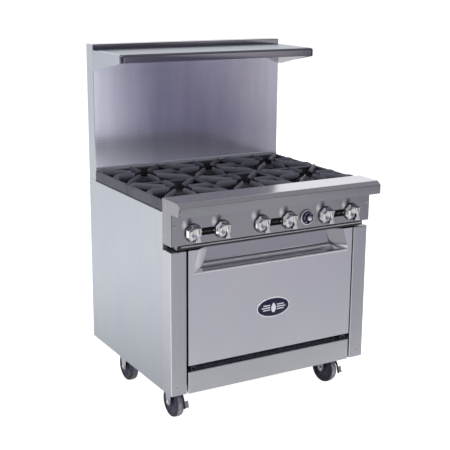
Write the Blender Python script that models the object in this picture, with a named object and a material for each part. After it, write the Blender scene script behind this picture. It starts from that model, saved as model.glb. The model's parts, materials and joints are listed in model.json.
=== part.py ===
"""Commercial six-burner gas range with an oven, a backguard with a high shelf, and casters.

Metres, +Z up.  The origin is on the floor under the middle of the whole range.
The front faces -Y and the user's right is +X.
"""

import math

import bmesh
import bpy
from mathutils import Matrix, Vector

# Overall body
WIDTH = 0.914
HALF_W = WIDTH / 2
HEIGHT = 1.456
REAR = 0.414
FRONT = -0.363
SEAM = -0.297
SHEET = 0.0015
GAP = 0.0003
FLANGE = 0.020

# Heights of the body, from the floor up
BODY_BOTTOM = 0.157
KICK_TOP = 0.246
DOOR_BOTTOM = 0.272
DOOR_TOP = 0.734
STILE_TOP = 0.735
TRAY_BOTTOM = 0.7405
TRAY_TOP = 0.7575
PANEL_BOTTOM = 0.759
SIDE_TOP = 0.883
RAIL_BOTTOM = 0.884
RAIL_TOP = 0.9345
GRATE_TOP = 0.935
GRATE_RIM_TOP = 0.9225
GUARD_BOTTOM = SIDE_TOP + 0.0003

# Front
STILE_WIDTH = 0.068
DOOR_HALF_W = 0.382
DOOR_BACK = FRONT + 0.050
BADGE_HALF_W = 0.0776
BADGE_HALF_H = 0.0415
BADGE_Z = 0.452
PANEL_FACE = -0.369
TRAY_HALF_W = 0.430
TRAY_FRONT = -0.3745
TRAY_REAR = 0.300
RAIL_FRONT = -0.440
RAIL_EDGE = -0.418
RAIL_NOSE = 0.921

# Backguard and shelf
GUARD_FRONT = 0.344
SHELF_FRONT = 0.056
SHELF_TOP = 1.434
SHELF_LIP_BOTTOM = 1.400
SHELF_GUSSET_BOTTOM = 1.347

# Door handle: a full-width scoop pressed into the top of the door
LIP_Z = 0.646
CREASE_Z = 0.676
SCOOP_DEPTH = 0.043
SCOOP_HALF_FRONT = 0.362
SCOOP_HALF_BACK = 0.293
SCOOP_LEAN = 0.28
LIP_RADIUS = 0.0045

# Door hinge line
HINGE_Y = -0.350
HINGE_Z = 0.262
HINGE_X = 0.356
PIN_R = 0.004
PIN_HOLE_R = 0.0042

# Grates and burners
GRATE_COLUMNS = (-1, 0, 1)
GRATE_ROWS = (-1, 1)
GRATE_BACK = GUARD_FRONT
GRATE_FRONT = SEAM
GRATE_GAP = 0.0015
GRATE_PITCH_X = WIDTH / 3
GRATE_PITCH_Y = (GRATE_BACK - GRATE_FRONT) / 2
GRATE_MID_Y = (GRATE_BACK + GRATE_FRONT) / 2
GRATE_RIM = 0.012
GRATE_DEPTH = 0.020
RIB_WIDTH = 0.020
RIB_INNER = 0.042
RIB_INNER_DIAGONAL = 0.054
RIB_DIRECTIONS = ((1, 0), (0, 1), (-1, 0), (0, -1), (1, 1), (-1, 1), (-1, -1), (1, -1))
BURNER_HEAD_R = 0.052
BURNER_TUBE_Z = 0.826
BURNER_TUBE_R = 0.013
BURNER_TOP = 0.906
BURNER_PORTS = 8

# Controls
KNOB_Z = 0.805
KNOB_R = 0.0325
KNOB_PAIRS = (-0.3025, -0.0005, 0.3015)
KNOB_HALF_PITCH = 0.063
THERMOSTAT_X = 0.146
THERMOSTAT_Z = 0.806
SHAFT_R = 0.004
SHAFT_HOLE_R = 0.007
VALVE_FRONT = -0.352
MANIFOLD_Y = -0.325
MANIFOLD_Z = 0.785
PIPE_R = 0.0135
PIPE_BORE_R = 0.0100
NOZZLE_R = 0.005
INLET_X = 0.415
INLET_END = 0.440

# Oven
OVEN_HALF_W = 0.330
OVEN_FRONT = -0.300
OVEN_BACK = 0.259
OVEN_FLOOR = 0.262
OVEN_ROOF = 0.656
MOUTH_FRAME_HALF_W = 0.387
MOUTH_FRAME_LOW = 0.190
MOUTH_FRAME_HIGH = 0.7395
DECK_Z = 0.305
DECK_DEPTH = 0.020
OVEN_BURNER_Z = 0.274
RACK_Z = 0.450
RACK_FRONT = -0.262
RACK_BACK = 0.236
RACK_WIRE = 0.008
RACK_BARS = 15
GUIDE_REACH = 0.014
GUIDE_LEDGES = (0.380, RACK_Z - 0.0045, 0.520, 0.590)

# Flue behind the oven, up inside the backguard
FLUE_HALF_W = 0.150
FLUE_LOW = 0.596
FLUE_NECK_TOP = 0.660
FLUE_HIGH = 1.390
FLUE_FRONT = 0.352
FLUE_REAR = 0.404

# Casters
WHEEL_R = 0.0635
WHEEL_WIDTH = 0.032
AXLE_Y = -0.040
AXLE_R = 0.005
FORK_TOP = 0.1565
FORK_HALF_W = 0.0255
CASTERS = {
    "front_left": ((-0.370, -0.168), -1.0, True),
    "front_right": ((0.370, -0.168), -8.0, True),
    "rear_left": ((-0.373, 0.263), -2.0, False),
    "rear_right": ((0.373, 0.263), 6.0, False),
}


# ---------------------------------------------------------------- materials

def material(name, colour, roughness, metallic):
    made = bpy.data.materials.new(name)
    made.use_nodes = True
    shader = made.node_tree.nodes["Principled BSDF"]
    shader.inputs["Base Color"].default_value = (*colour, 1.0)
    shader.inputs["Roughness"].default_value = roughness
    shader.inputs["Metallic"].default_value = metallic
    made.diffuse_color = (*colour, 1.0)
    return made


# ---------------------------------------------------------------- mesh tools

def new_object(name, bm, finish=None, smooth=None):
    """A scene object from a bmesh, shaded smooth below the angle in degrees."""
    bmesh.ops.recalc_face_normals(bm, faces=bm.faces)
    mesh = bpy.data.meshes.new(name)
    bm.to_mesh(mesh)
    bm.free()
    if smooth:
        mesh.shade_smooth()
        mesh.set_sharp_from_angle(angle=math.radians(smooth))
    made = bpy.data.objects.new(name, mesh)
    bpy.context.scene.collection.objects.link(made)
    if finish:
        mesh.materials.append(finish)
    return made


def box_mesh(low, high):
    bm = bmesh.new()
    size = Vector(high) - Vector(low)
    middle = (Vector(high) + Vector(low)) / 2
    bmesh.ops.create_cube(bm, size=1.0)
    bmesh.ops.scale(bm, vec=size, verts=bm.verts)
    bmesh.ops.translate(bm, vec=middle, verts=bm.verts)
    return bm


def box(low, high, name="solid", finish=None):
    return new_object(name, box_mesh(low, high), finish)


def prism_mesh(outline, axis, start, end):
    """Extrude an outline along an axis.  The outline is in the other two axes, in X, Y, Z order."""
    bm = bmesh.new()
    corners = []
    for first, second in outline:
        point = [first, second]
        point.insert(axis, start)
        corners.append(bm.verts.new(point))
    face = bm.faces.new(corners)
    moved = bmesh.ops.extrude_face_region(bm, geom=[face])
    step = Vector((0, 0, 0))
    step[axis] = end - start
    verts = [item for item in moved["geom"] if isinstance(item, bmesh.types.BMVert)]
    bmesh.ops.translate(bm, vec=step, verts=verts)
    return bm


def prism(outline, axis, start, end, name="solid", finish=None, smooth=None):
    return new_object(name, prism_mesh(outline, axis, start, end), finish, smooth)


def turned_mesh(profile, segments, axis="Z", at=(0, 0, 0)):
    """Spin a profile of (radius, height) points about an axis through a point.

    A profile that starts and ends off the axis is closed into a ring.
    """
    bm = bmesh.new()
    verts = [bm.verts.new((radius, 0, height)) for radius, height in profile]
    edges = [bm.edges.new(pair) for pair in zip(verts, verts[1:])]
    if profile[0][0] > 0 and profile[-1][0] > 0:
        edges.append(bm.edges.new((verts[-1], verts[0])))
    bmesh.ops.spin(
        bm, geom=verts + edges, cent=(0, 0, 0), axis=(0, 0, 1),
        angle=math.tau, steps=segments, use_duplicate=False,
    )
    bmesh.ops.remove_doubles(bm, verts=bm.verts, dist=0.00002)
    turns = {
        "Z": Matrix.Identity(3),
        "-Y": Matrix.Rotation(math.radians(90), 3, "X"),
        "+Y": Matrix.Rotation(math.radians(-90), 3, "X"),
        "X": Matrix.Rotation(math.radians(90), 3, "Y"),
    }
    bmesh.ops.rotate(bm, cent=(0, 0, 0), matrix=turns[axis], verts=bm.verts)
    bmesh.ops.translate(bm, vec=at, verts=bm.verts)
    return bm


def turned(profile, segments=24, axis="Z", at=(0, 0, 0), name="solid", finish=None):
    return new_object(name, turned_mesh(profile, segments, axis, at), finish, smooth=35)


def rod(radius, length, axis, at, segments=16):
    """A plain round bar that starts at a point and runs along an axis."""
    return turned([(0, 0), (radius, 0), (radius, length), (0, length)], segments, axis, at)


def tray_shell(low, high, open_side, name, finish, wall=SHEET):
    """A sheet-metal box with one side left open, folded from one sheet."""
    bm = box_mesh(low, high)
    side = Vector({"+Y": (0, 1, 0), "-Y": (0, -1, 0), "+X": (1, 0, 0), "-X": (-1, 0, 0),
                   "+Z": (0, 0, 1), "-Z": (0, 0, -1)}[open_side])
    bm.normal_update()
    lid = [face for face in bm.faces if face.normal.dot(side) > 0.9]
    bmesh.ops.delete(bm, geom=lid, context="FACES_ONLY")
    made = new_object(name, bm, finish)
    thicken(made, wall)
    return made


def thicken(made, wall):
    solid = made.modifiers.new("sheet", "SOLIDIFY")
    solid.thickness = wall
    solid.offset = -1
    solid.use_even_offset = True
    solid.use_quality_normals = True


def settle(made):
    """Replace an object's mesh by what its modifiers make of it."""
    graph = bpy.context.evaluated_depsgraph_get()
    mesh = bpy.data.meshes.new_from_object(made.evaluated_get(graph))
    old = made.data
    made.modifiers.clear()
    made.data = mesh
    mesh.name = made.name
    bpy.data.meshes.remove(old)
    return made


def fuse(name, solids, cuts=(), finish=None, smooth=None):
    """Weld solids into one body, cut others away from it, and name the result."""
    base = solids[0]
    for other in solids[1:]:
        union = base.modifiers.new("weld", "BOOLEAN")
        union.operation = "UNION"
        union.solver = "EXACT"
        union.object = other
    for other in cuts:
        drill = base.modifiers.new("cut", "BOOLEAN")
        drill.operation = "DIFFERENCE"
        drill.solver = "EXACT"
        drill.object = other
    settle(base)
    for other in [*solids[1:], *cuts]:
        bpy.data.objects.remove(other)
    base.name = name
    base.data.name = name
    base.data.materials.clear()
    if finish:
        base.data.materials.append(finish)
    if smooth:
        base.data.shade_smooth()
        base.data.set_sharp_from_angle(angle=math.radians(smooth))
    return base


def place_on_axis(made, pivot):
    """Move an object's origin to a joint's axis and leave its shape where it is."""
    made.data.transform(Matrix.Translation(-Vector(pivot)))
    made.location = pivot
    return made


# ---------------------------------------------------------------- casing

def side_panels(steel):
    for side, name in ((-1, "left_side_panel"), (1, "right_side_panel")):
        outer, inner = side * HALF_W, side * (HALF_W - FLANGE)
        panel = tray_shell(
            (min(outer, inner), SEAM + GAP, BODY_BOTTOM), (max(outer, inner), REAR, SIDE_TOP),
            "+X" if side < 0 else "-X", "panel", steel)
        ledge_x = sorted((side * (HALF_W - SHEET / 2), side * (TRAY_HALF_W - 0.012)))
        top = TRAY_BOTTOM - GAP
        ledge = box((ledge_x[0], SEAM + 0.01, top - SHEET), (ledge_x[1], TRAY_REAR, top))
        fuse(name, [settle(panel), ledge], finish=steel)


def rear_panel(steel):
    """The back sheet laps inside the side panels' rear flanges."""
    back = REAR - SHEET - GAP
    plate = box((-HALF_W + SHEET + GAP, back - SHEET, BODY_BOTTOM + SHEET + GAP),
                (HALF_W - SHEET - GAP, back, SIDE_TOP - SHEET - GAP))
    hole = rod(PIPE_R + 0.004, 0.02, "+Y", (INLET_X, back - 0.01, MANIFOLD_Z))
    fuse("rear_panel", [plate], [hole], steel)


def base_frame(dark):
    low, high = BODY_BOTTOM + SHEET + GAP, BODY_BOTTOM + 0.027
    side = HALF_W - SHEET - GAP
    front, back = SEAM + 0.004, REAR - 2 * SHEET - 2 * GAP
    bar = 0.030
    rails = [
        box((-side, front, low), (side, front + bar, high)),
        box((-side, back - bar, low), (side, back, high)),
        box((-side, front, low), (-side + bar, back, high)),
        box((side - bar, front, low), (side, back, high)),
    ]
    for (x, y), _, _ in CASTERS.values():
        reach = side if x > 0 else -side
        pad_x = sorted((reach, x - math.copysign(0.045, x)))
        rails.append(box((pad_x[0], y - 0.050, low), (pad_x[1], y + 0.050, low + 0.006)))
    fuse("base_frame", rails, finish=dark)


def stiles(steel):
    for side, name in ((-1, "left_stile"), (1, "right_stile")):
        edges = sorted((side * HALF_W, side * (HALF_W - STILE_WIDTH)))
        tray_shell((edges[0], FRONT, BODY_BOTTOM), (edges[1], SEAM - GAP, STILE_TOP), "+Y", name, steel)


def kick_panel(steel):
    tray_shell((-DOOR_HALF_W, FRONT, BODY_BOTTOM - 0.0015), (DOOR_HALF_W, FRONT + 0.015, KICK_TOP),
               "+Y", "kick_panel", steel)


def control_panel(steel):
    shell = tray_shell((-HALF_W, PANEL_FACE, PANEL_BOTTOM), (HALF_W, SEAM - GAP, RAIL_BOTTOM - GAP),
                       "+Y", "shell", steel)
    holes = [
        rod(SHAFT_HOLE_R, 0.02, "+Y", (x, PANEL_FACE - 0.01, z)) for x, z in control_places().values()
    ]
    fuse("control_panel", [settle(shell)], holes, steel, smooth=30)


def front_rail(steel):
    outline = [(SEAM - GAP, RAIL_BOTTOM), (SEAM - GAP, RAIL_TOP), (RAIL_EDGE, RAIL_TOP),
               (RAIL_FRONT, RAIL_NOSE), (RAIL_FRONT, RAIL_BOTTOM)]
    bm = prism_mesh(outline, 0, -HALF_W, HALF_W)
    bmesh.ops.recalc_face_normals(bm, faces=bm.faces)
    bottom = [face for face in bm.faces if face.normal.z < -0.9]
    bmesh.ops.delete(bm, geom=bottom, context="FACES_ONLY")
    thicken(new_object("front_rail", bm, steel), SHEET)


def backguard(steel):
    shell = tray_shell((-HALF_W, GUARD_FRONT, GUARD_BOTTOM), (HALF_W, REAR, HEIGHT), "-Z", "shell", steel)
    vents = [
        box((x - 0.030, REAR - 0.010, HEIGHT - 0.060), (x + 0.030, REAR + 0.010, HEIGHT - 0.045))
        for x in (-0.12, -0.04, 0.04, 0.12)
    ]
    fuse("backguard", [settle(shell)], vents, steel)


def high_shelf(steel):
    wall = GUARD_FRONT - GAP
    outline = [(SHELF_FRONT, SHELF_TOP), (wall, SHELF_TOP), (wall, SHELF_GUSSET_BOTTOM),
               (wall - 0.030, SHELF_GUSSET_BOTTOM), (SHELF_FRONT, SHELF_LIP_BOTTOM)]
    bm = prism_mesh(outline, 0, -HALF_W, HALF_W)
    bmesh.ops.recalc_face_normals(bm, faces=bm.faces)
    below = [face for face in bm.faces if face.normal.z < -0.5]
    bmesh.ops.delete(bm, geom=below, context="FACES_ONLY")
    thicken(new_object("high_shelf", bm, steel), SHEET)


def crumb_tray(steel):
    """A shallow pan whose front wall is the pull lip under the control panel."""
    pan = tray_shell((-TRAY_HALF_W, TRAY_FRONT, TRAY_BOTTOM), (TRAY_HALF_W, TRAY_REAR, TRAY_TOP),
                     "+Z", "crumb_tray", steel)
    place_on_axis(pan, (0, TRAY_FRONT, TRAY_BOTTOM))


# ---------------------------------------------------------------- cooking top

def grate_centre(column, row):
    return column * GRATE_PITCH_X, GRATE_MID_Y + row * GRATE_PITCH_Y / 2


def grate(name, column, iron):
    """One cast grate section about its own middle; the outer ones have a deep side skirt."""
    half_x = GRATE_PITCH_X / 2 - GRATE_GAP / 2
    half_y = GRATE_PITCH_Y / 2 - GRATE_GAP / 2
    low = GRATE_TOP - GRATE_DEPTH
    frame = box((-half_x, -half_y, low), (half_x, half_y, GRATE_RIM_TOP))
    window = box((-half_x + GRATE_RIM, -half_y + GRATE_RIM, low - 0.1),
                 (half_x - GRATE_RIM, half_y - GRATE_RIM, GRATE_TOP + 0.1))
    solids = [fuse("frame", [frame], [window])]
    if column:
        edges = sorted((column * half_x, column * (half_x - 0.010)))
        solids.append(box((edges[0], -half_y, SIDE_TOP + GAP), (edges[1], half_y, GRATE_RIM_TOP)))
    inset = GRATE_RIM / 2
    for side_x, side_y in RIB_DIRECTIONS:
        start = Vector((side_x * (half_x - inset), side_y * (half_y - inset)))
        reach = RIB_INNER_DIAGONAL if side_x and side_y else RIB_INNER
        solids.append(grate_rib(start, start.normalized() * reach, RIB_WIDTH, low))
    return fuse(name, solids, finish=iron)


def grate_rib(start, end, width, low):
    """A fin that narrows upward: low and pointed at the rim, undercut where it ends by the burner."""
    run = Vector(end) - Vector(start)
    length = run.length
    places = ((0, 0.30, GRATE_RIM_TOP - 0.002, low), (0.012, 1.0, GRATE_TOP, low),
              (length - 0.022, 1.0, GRATE_TOP, low), (length, 0.45, GRATE_TOP, low + 0.013))
    bm = bmesh.new()
    rows = []
    for along, wide, top, bottom in places:
        half = width / 2 * wide
        ridge = min(half * 0.6, 0.0021)
        rows.append([bm.verts.new(point) for point in (
            (-half, along, bottom), (half, along, bottom), (ridge, along, top), (-ridge, along, top))])
    for first, second in zip(rows, rows[1:]):
        for step in range(4):
            after = (step + 1) % 4
            bm.faces.new((first[step], first[after], second[after], second[step]))
    bm.faces.new(rows[0])
    bm.faces.new(rows[-1])
    turn = Matrix.Rotation(math.atan2(run.y, run.x) - math.pi / 2, 3, "Z")
    bmesh.ops.rotate(bm, cent=(0, 0, 0), matrix=turn, verts=bm.verts)
    bmesh.ops.translate(bm, vec=(*start, 0), verts=bm.verts)
    return new_object("rib", bm)


def grates(iron):
    shapes = {column: grate(f"grate_shape_{column}", column, iron) for column in GRATE_COLUMNS}
    number = 0
    for row in GRATE_ROWS:
        for column in GRATE_COLUMNS:
            number += 1
            made = bpy.data.objects.new(f"grate_{number}", shapes[column].data)
            made.location = (*grate_centre(column, row), 0)
            bpy.context.scene.collection.objects.link(made)
    for shape in shapes.values():
        bpy.data.objects.remove(shape)


def top_frame(dark):
    """The burner box: bars that carry the grates, and lower bars that carry the burners."""
    low, high = SIDE_TOP + GAP, GRATE_TOP - GRATE_DEPTH - GAP
    side = HALF_W - FLANGE + 0.003
    bars = []
    for y in (GRATE_FRONT + 0.012, GRATE_MID_Y, GRATE_BACK - 0.012):
        bars.append(box((-side, y - 0.010, low), (side, y + 0.010, high)))
    for x in (-GRATE_PITCH_X / 2, GRATE_PITCH_X / 2):
        bars.append(box((x - 0.008, GRATE_FRONT + 0.012, low + 0.001),
                        (x + 0.008, GRATE_BACK - 0.012, high)))
    rest_top = BURNER_TUBE_Z - BURNER_TUBE_R - GAP
    for y in (GRATE_FRONT + 0.030, GRATE_BACK - 0.110):
        bars.append(box((-0.434, y - 0.010, rest_top - 0.0125), (0.434, y + 0.010, rest_top)))
        for x in (-0.430, 0.430):
            bars.append(box((x - 0.004, y - 0.010, rest_top - 0.010), (x + 0.004, y + 0.010, low + 0.005)))
    for x in (-0.430, 0.430):
        bars.append(box((x - 0.004, GRATE_FRONT + 0.012, low), (x + 0.004, GRATE_BACK - 0.012, low + 0.012)))
    fuse("top_frame", bars, finish=dark)


def burner_ports(x, y):
    """Cutters for the flame ports around a burner head."""
    ports = []
    for step in range(BURNER_PORTS):
        angle = math.tau * step / BURNER_PORTS
        port = box((BURNER_HEAD_R - 0.016, -0.0022, 0.8845), (BURNER_HEAD_R + 0.010, 0.0022, 0.910))
        port.data.transform(Matrix.Translation((x, y, 0)) @ Matrix.Rotation(angle, 4, "Z"))
        ports.append(port)
    return ports


def burners(iron):
    """Each burner head stands over a mixer tube that runs forward to its own valve."""
    mouth = SEAM + 0.014
    head_outline = [(0, 0.866), (0.034, 0.866), (BURNER_HEAD_R, 0.880), (BURNER_HEAD_R, 0.893),
                    (0.040, BURNER_TOP), (0.014, BURNER_TOP), (0.008, 0.898), (0, 0.898)]
    neck_outline = [(0, 0.816), (0.017, 0.816), (0.020, 0.870), (0, 0.870)]
    number = 0
    for row in GRATE_ROWS:
        for column in GRATE_COLUMNS:
            number += 1
            x, y = grate_centre(column, row)
            valve_x = KNOB_PAIRS[column + 1] - row * KNOB_HALF_PITCH
            head = turned(head_outline, 24, at=(x, y, 0))
            neck = turned(neck_outline, 12, at=(x, y, 0))
            tube = rod(BURNER_TUBE_R, y - mouth, "+Y", (valve_x, mouth, BURNER_TUBE_Z), 12)
            across = sorted((valve_x, x))
            elbow = box((across[0] - 0.011, y - 0.011, BURNER_TUBE_Z - 0.0125),
                        (across[1] + 0.011, y + 0.011, BURNER_TUBE_Z + 0.0120))
            fuse(f"burner_{number}", [head, neck, tube, elbow], burner_ports(x, y), iron, smooth=30)


# ---------------------------------------------------------------- controls

def control_places():
    places = {}
    number = 0
    for middle in KNOB_PAIRS:
        for side in (-1, 1):
            number += 1
            places[f"burner_knob_{number}"] = (middle + side * KNOB_HALF_PITCH, KNOB_Z)
    places["thermostat_knob"] = (THERMOSTAT_X, THERMOSTAT_Z)
    return places


def burner_knobs(chrome):
    """Octagonal skirt, a waisted grip bar across it, and the valve shaft behind."""
    back = PANEL_FACE - GAP
    for name, (x, z) in control_places().items():
        if name == "thermostat_knob":
            continue
        skirt = turned([(0, 0), (KNOB_R, 0), (KNOB_R, 0.006), (KNOB_R - 0.006, 0.018), (0, 0.022)],
                       8, "-Y", (0, 0, 0))
        skirt.data.transform(Matrix.Rotation(math.radians(22.5), 4, "Y"))
        grip = prism(knob_grip_outline(), 1, -0.016, -0.050)
        shaft = rod(SHAFT_R, 0.0165, "+Y", (0, -0.001, 0), 12)
        knob = fuse(name, [skirt, grip, shaft], finish=chrome, smooth=25)
        knob.location = (x, back, z)


def knob_grip_outline():
    """Half-widths of the grip bar, which is waisted in the middle and flares to both ends."""
    right = []
    for step in range(9):
        z = -0.027 + 0.054 * step / 8
        right.append((0.0075 + 0.0065 * abs(z / 0.027) ** 1.6, z))
    left = [(-x, z) for x, z in reversed(right)]
    return right + left


def thermostat(dark, chrome):
    x, z = THERMOSTAT_X, THERMOSTAT_Z
    turned([(0.0262, 0), (0.0315, 0), (0.0315, 0.005), (0.0290, 0.009), (0.0262, 0.009)],
           32, "-Y", (x, PANEL_FACE - GAP, z), "thermostat_bezel", chrome)
    dial = turned([(0, 0.001), (0.0256, 0.001), (0.0256, 0.012), (0.0238, 0.014), (0.0115, 0.014),
                   (0.0105, 0.024), (0.006, 0.029), (0, 0.029)], 32, "-Y")
    shaft = rod(SHAFT_R, 0.0165, "+Y", (0, -0.0015, 0), 12)
    knob = fuse("thermostat_knob", [dial, shaft], finish=dark, smooth=30)
    knob.location = (x, PANEL_FACE - GAP, z)


def label_plates(black):
    for middle, name in zip(KNOB_PAIRS, ("left", "middle", "right")):
        plate = box((middle - 0.0295, PANEL_FACE - GAP - 0.0015, KNOB_Z - 0.0145),
                    (middle + 0.0295, PANEL_FACE - GAP, KNOB_Z + 0.0135))
        plate.name = f"label_plate_{name}"
        plate.data.materials.append(black)


def gas_manifold(brass):
    """Supply pipe from the rear inlet, the cross manifold, and one valve for each knob."""
    end = INLET_X
    cross = rod(PIPE_R, end + 0.405, "X", (-0.405, MANIFOLD_Y, MANIFOLD_Z))
    supply = rod(PIPE_R, INLET_END - MANIFOLD_Y, "+Y", (end, MANIFOLD_Y, MANIFOLD_Z))
    elbow = rod(PIPE_R + 0.003, 0.036, "Z", (end, MANIFOLD_Y, MANIFOLD_Z - 0.018))
    nut = turned([(0, 0), (0.019, 0), (0.019, 0.016), (0, 0.016)], 6, "+Y",
                 (end, REAR + 0.002, MANIFOLD_Z))
    solids = [cross, supply, elbow, nut]
    for name, (x, z) in control_places().items():
        solids.append(box((x - 0.011, VALVE_FRONT, MANIFOLD_Z), (x + 0.011, MANIFOLD_Y + 0.006, z + 0.018)))
        if name != "thermostat_knob":
            solids.append(rod(NOZZLE_R, SEAM - MANIFOLD_Y + 0.008, "+Y", (x, MANIFOLD_Y, BURNER_TUBE_Z), 8))
    bore = rod(PIPE_BORE_R, 0.10, "+Y", (end, INLET_END - 0.09, MANIFOLD_Z))
    fuse("gas_manifold", solids, [bore], brass, smooth=30)


# ---------------------------------------------------------------- oven

def oven_liner(enamel):
    """The oven's inner box, its mouth frame, and the flue hole high in its back wall."""
    low = (-OVEN_HALF_W - SHEET, OVEN_FRONT, OVEN_FLOOR - SHEET)
    high = (OVEN_HALF_W + SHEET, OVEN_BACK + SHEET, OVEN_ROOF + SHEET)
    shell = settle(tray_shell(low, high, "-Y", "shell", enamel))
    plate = box((-MOUTH_FRAME_HALF_W, OVEN_FRONT - SHEET, MOUTH_FRAME_LOW),
                (MOUTH_FRAME_HALF_W, OVEN_FRONT + 0.0002, MOUTH_FRAME_HIGH))
    mouth = box((-OVEN_HALF_W, OVEN_FRONT - 0.02, OVEN_FLOOR), (OVEN_HALF_W, OVEN_FRONT + 0.02, OVEN_ROOF))
    frame = fuse("frame", [plate], [mouth])
    flue = box((-FLUE_HALF_W + 0.010, OVEN_BACK - 0.02, FLUE_LOW + 0.010),
               (FLUE_HALF_W - 0.010, OVEN_BACK + 0.02, FLUE_NECK_TOP - 0.014))
    fuse("oven_liner", [shell, frame], [flue], enamel)


def oven_deck(enamel):
    """The oven's lift-out floor, with slots at both sides for the heat to rise through."""
    side = OVEN_HALF_W - 0.001
    deck = tray_shell((-side, OVEN_FRONT + 0.012, DECK_Z - DECK_DEPTH), (side, OVEN_BACK - 0.001, DECK_Z),
                      "-Z", "deck", enamel)
    slots = []
    for x in (-0.290, 0.290):
        for y in (-0.18, -0.08, 0.02, 0.12):
            slots.append(box((x - 0.012, y - 0.030, DECK_Z - 0.01), (x + 0.012, y + 0.030, DECK_Z + 0.01)))
    fuse("oven_deck", [settle(deck)], slots, enamel)


def oven_burner(dark):
    """Two burner tubes under the deck, joined at the back."""
    spread = 0.150
    start, length, tube_r = -0.200, 0.42, 0.010
    legs = [rod(tube_r, length, "+Y", (x, start, OVEN_BURNER_Z), 12) for x in (-spread, spread)]
    reach, half = spread + 0.002, 0.007
    bridge = box((-reach, 0.192, OVEN_BURNER_Z - half), (reach, 0.206, OVEN_BURNER_Z + half))
    fuse("oven_burner", [*legs, bridge], finish=dark, smooth=30)


def rack_guides(wire):
    """A plate on each side wall of the oven, with ledges for the rack."""
    front, back = RACK_FRONT, 0.240
    for side, name in ((-1, "rack_guide_left"), (1, "rack_guide_right")):
        wall = side * (OVEN_HALF_W - GAP)
        plate_x = sorted((wall, wall - side * 0.003))
        solids = [box((plate_x[0], front, 0.330), (plate_x[1], back, 0.630))]
        ledge_x = sorted((wall, wall - side * GUIDE_REACH))
        for z in GUIDE_LEDGES:
            solids.append(box((ledge_x[0], front, z - 0.004), (ledge_x[1], back, z)))
        fuse(name, solids, finish=wire)


def oven_rack(wire):
    half = OVEN_HALF_W - 0.007
    low, high = RACK_Z - RACK_WIRE / 2, RACK_Z + RACK_WIRE / 2
    bars = [
        box((-half, RACK_FRONT, low), (half, RACK_FRONT + RACK_WIRE, high)),
        box((-half, RACK_BACK - RACK_WIRE, low), (half, RACK_BACK, high)),
        box((-half, RACK_FRONT, low), (-half + RACK_WIRE, RACK_BACK, high)),
        box((half - RACK_WIRE, RACK_FRONT, low), (half, RACK_BACK, high)),
    ]
    for step in range(1, RACK_BARS + 1):
        x = -half + 2 * half * step / (RACK_BARS + 1)
        bars.append(box((x - 0.0025, RACK_FRONT + 0.004, RACK_Z - 0.0005),
                        (x + 0.0025, RACK_BACK - 0.004, RACK_Z + 0.0035)))
    fuse("oven_rack", bars, finish=wire)


def flue_duct(enamel):
    """A neck from the oven's back wall, and a riser inside the backguard."""
    wall = SHEET
    neck_front = OVEN_BACK + SHEET + GAP
    duct = [
        box((-FLUE_HALF_W, neck_front, FLUE_LOW), (FLUE_HALF_W, FLUE_REAR, FLUE_NECK_TOP)),
        box((-FLUE_HALF_W, FLUE_FRONT, FLUE_LOW), (FLUE_HALF_W, FLUE_REAR, FLUE_HIGH)),
    ]
    inner = FLUE_HALF_W - wall
    bore = [
        box((-inner, OVEN_BACK - 0.01, FLUE_LOW + wall), (inner, FLUE_REAR - wall, FLUE_NECK_TOP - wall)),
        box((-inner, FLUE_FRONT + wall, FLUE_LOW + 0.014), (inner, FLUE_REAR - wall, FLUE_HIGH + 0.01)),
    ]
    fuse("flue_duct", duct, bore, enamel)


# ---------------------------------------------------------------- door

def scoop_cove(steps=5):
    """The cove from the lip in to the crease, as (depth, height, half-width) points."""
    cove = []
    for step in range(steps + 1):
        angle = math.pi / 2 * step / steps
        inward = math.sin(angle)
        height = LIP_Z + (CREASE_Z - LIP_Z) * (1 - math.cos(angle))
        half = SCOOP_HALF_FRONT + (SCOOP_HALF_BACK - SCOOP_HALF_FRONT) * inward
        cove.append((SCOOP_DEPTH * inward, height, half))
    return cove


def scoop_cutter():
    """The hollow of the handle: a coved floor, a flat back wall and slanted ends."""
    bm = bmesh.new()
    rings = []
    top = DOOR_TOP + 0.02
    sections = [(-0.02, LIP_Z, SCOOP_HALF_FRONT + 0.031), *scoop_cove()]
    for side in (-1, 1):
        lower = [bm.verts.new((side * half, FRONT + depth, z)) for depth, z, half in sections]
        upper = [
            bm.verts.new((side * (half - SCOOP_LEAN * (top - z)), FRONT + depth, top))
            for depth, z, half in sections
        ]
        rings.append((lower, upper))
    (left_low, left_up), (right_low, right_up) = rings
    count = len(sections)
    for step in range(count - 1):
        for low, up in ((left_low, left_up), (right_low, right_up)):
            bm.faces.new((low[step], low[step + 1], up[step + 1], up[step]))
        bm.faces.new((left_low[step], left_low[step + 1], right_low[step + 1], right_low[step]))
        bm.faces.new((left_up[step], left_up[step + 1], right_up[step + 1], right_up[step]))
    for step in (0, count - 1):
        bm.faces.new((left_low[step], right_low[step], right_up[step], left_up[step]))
    return new_object("scoop", bm)


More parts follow.
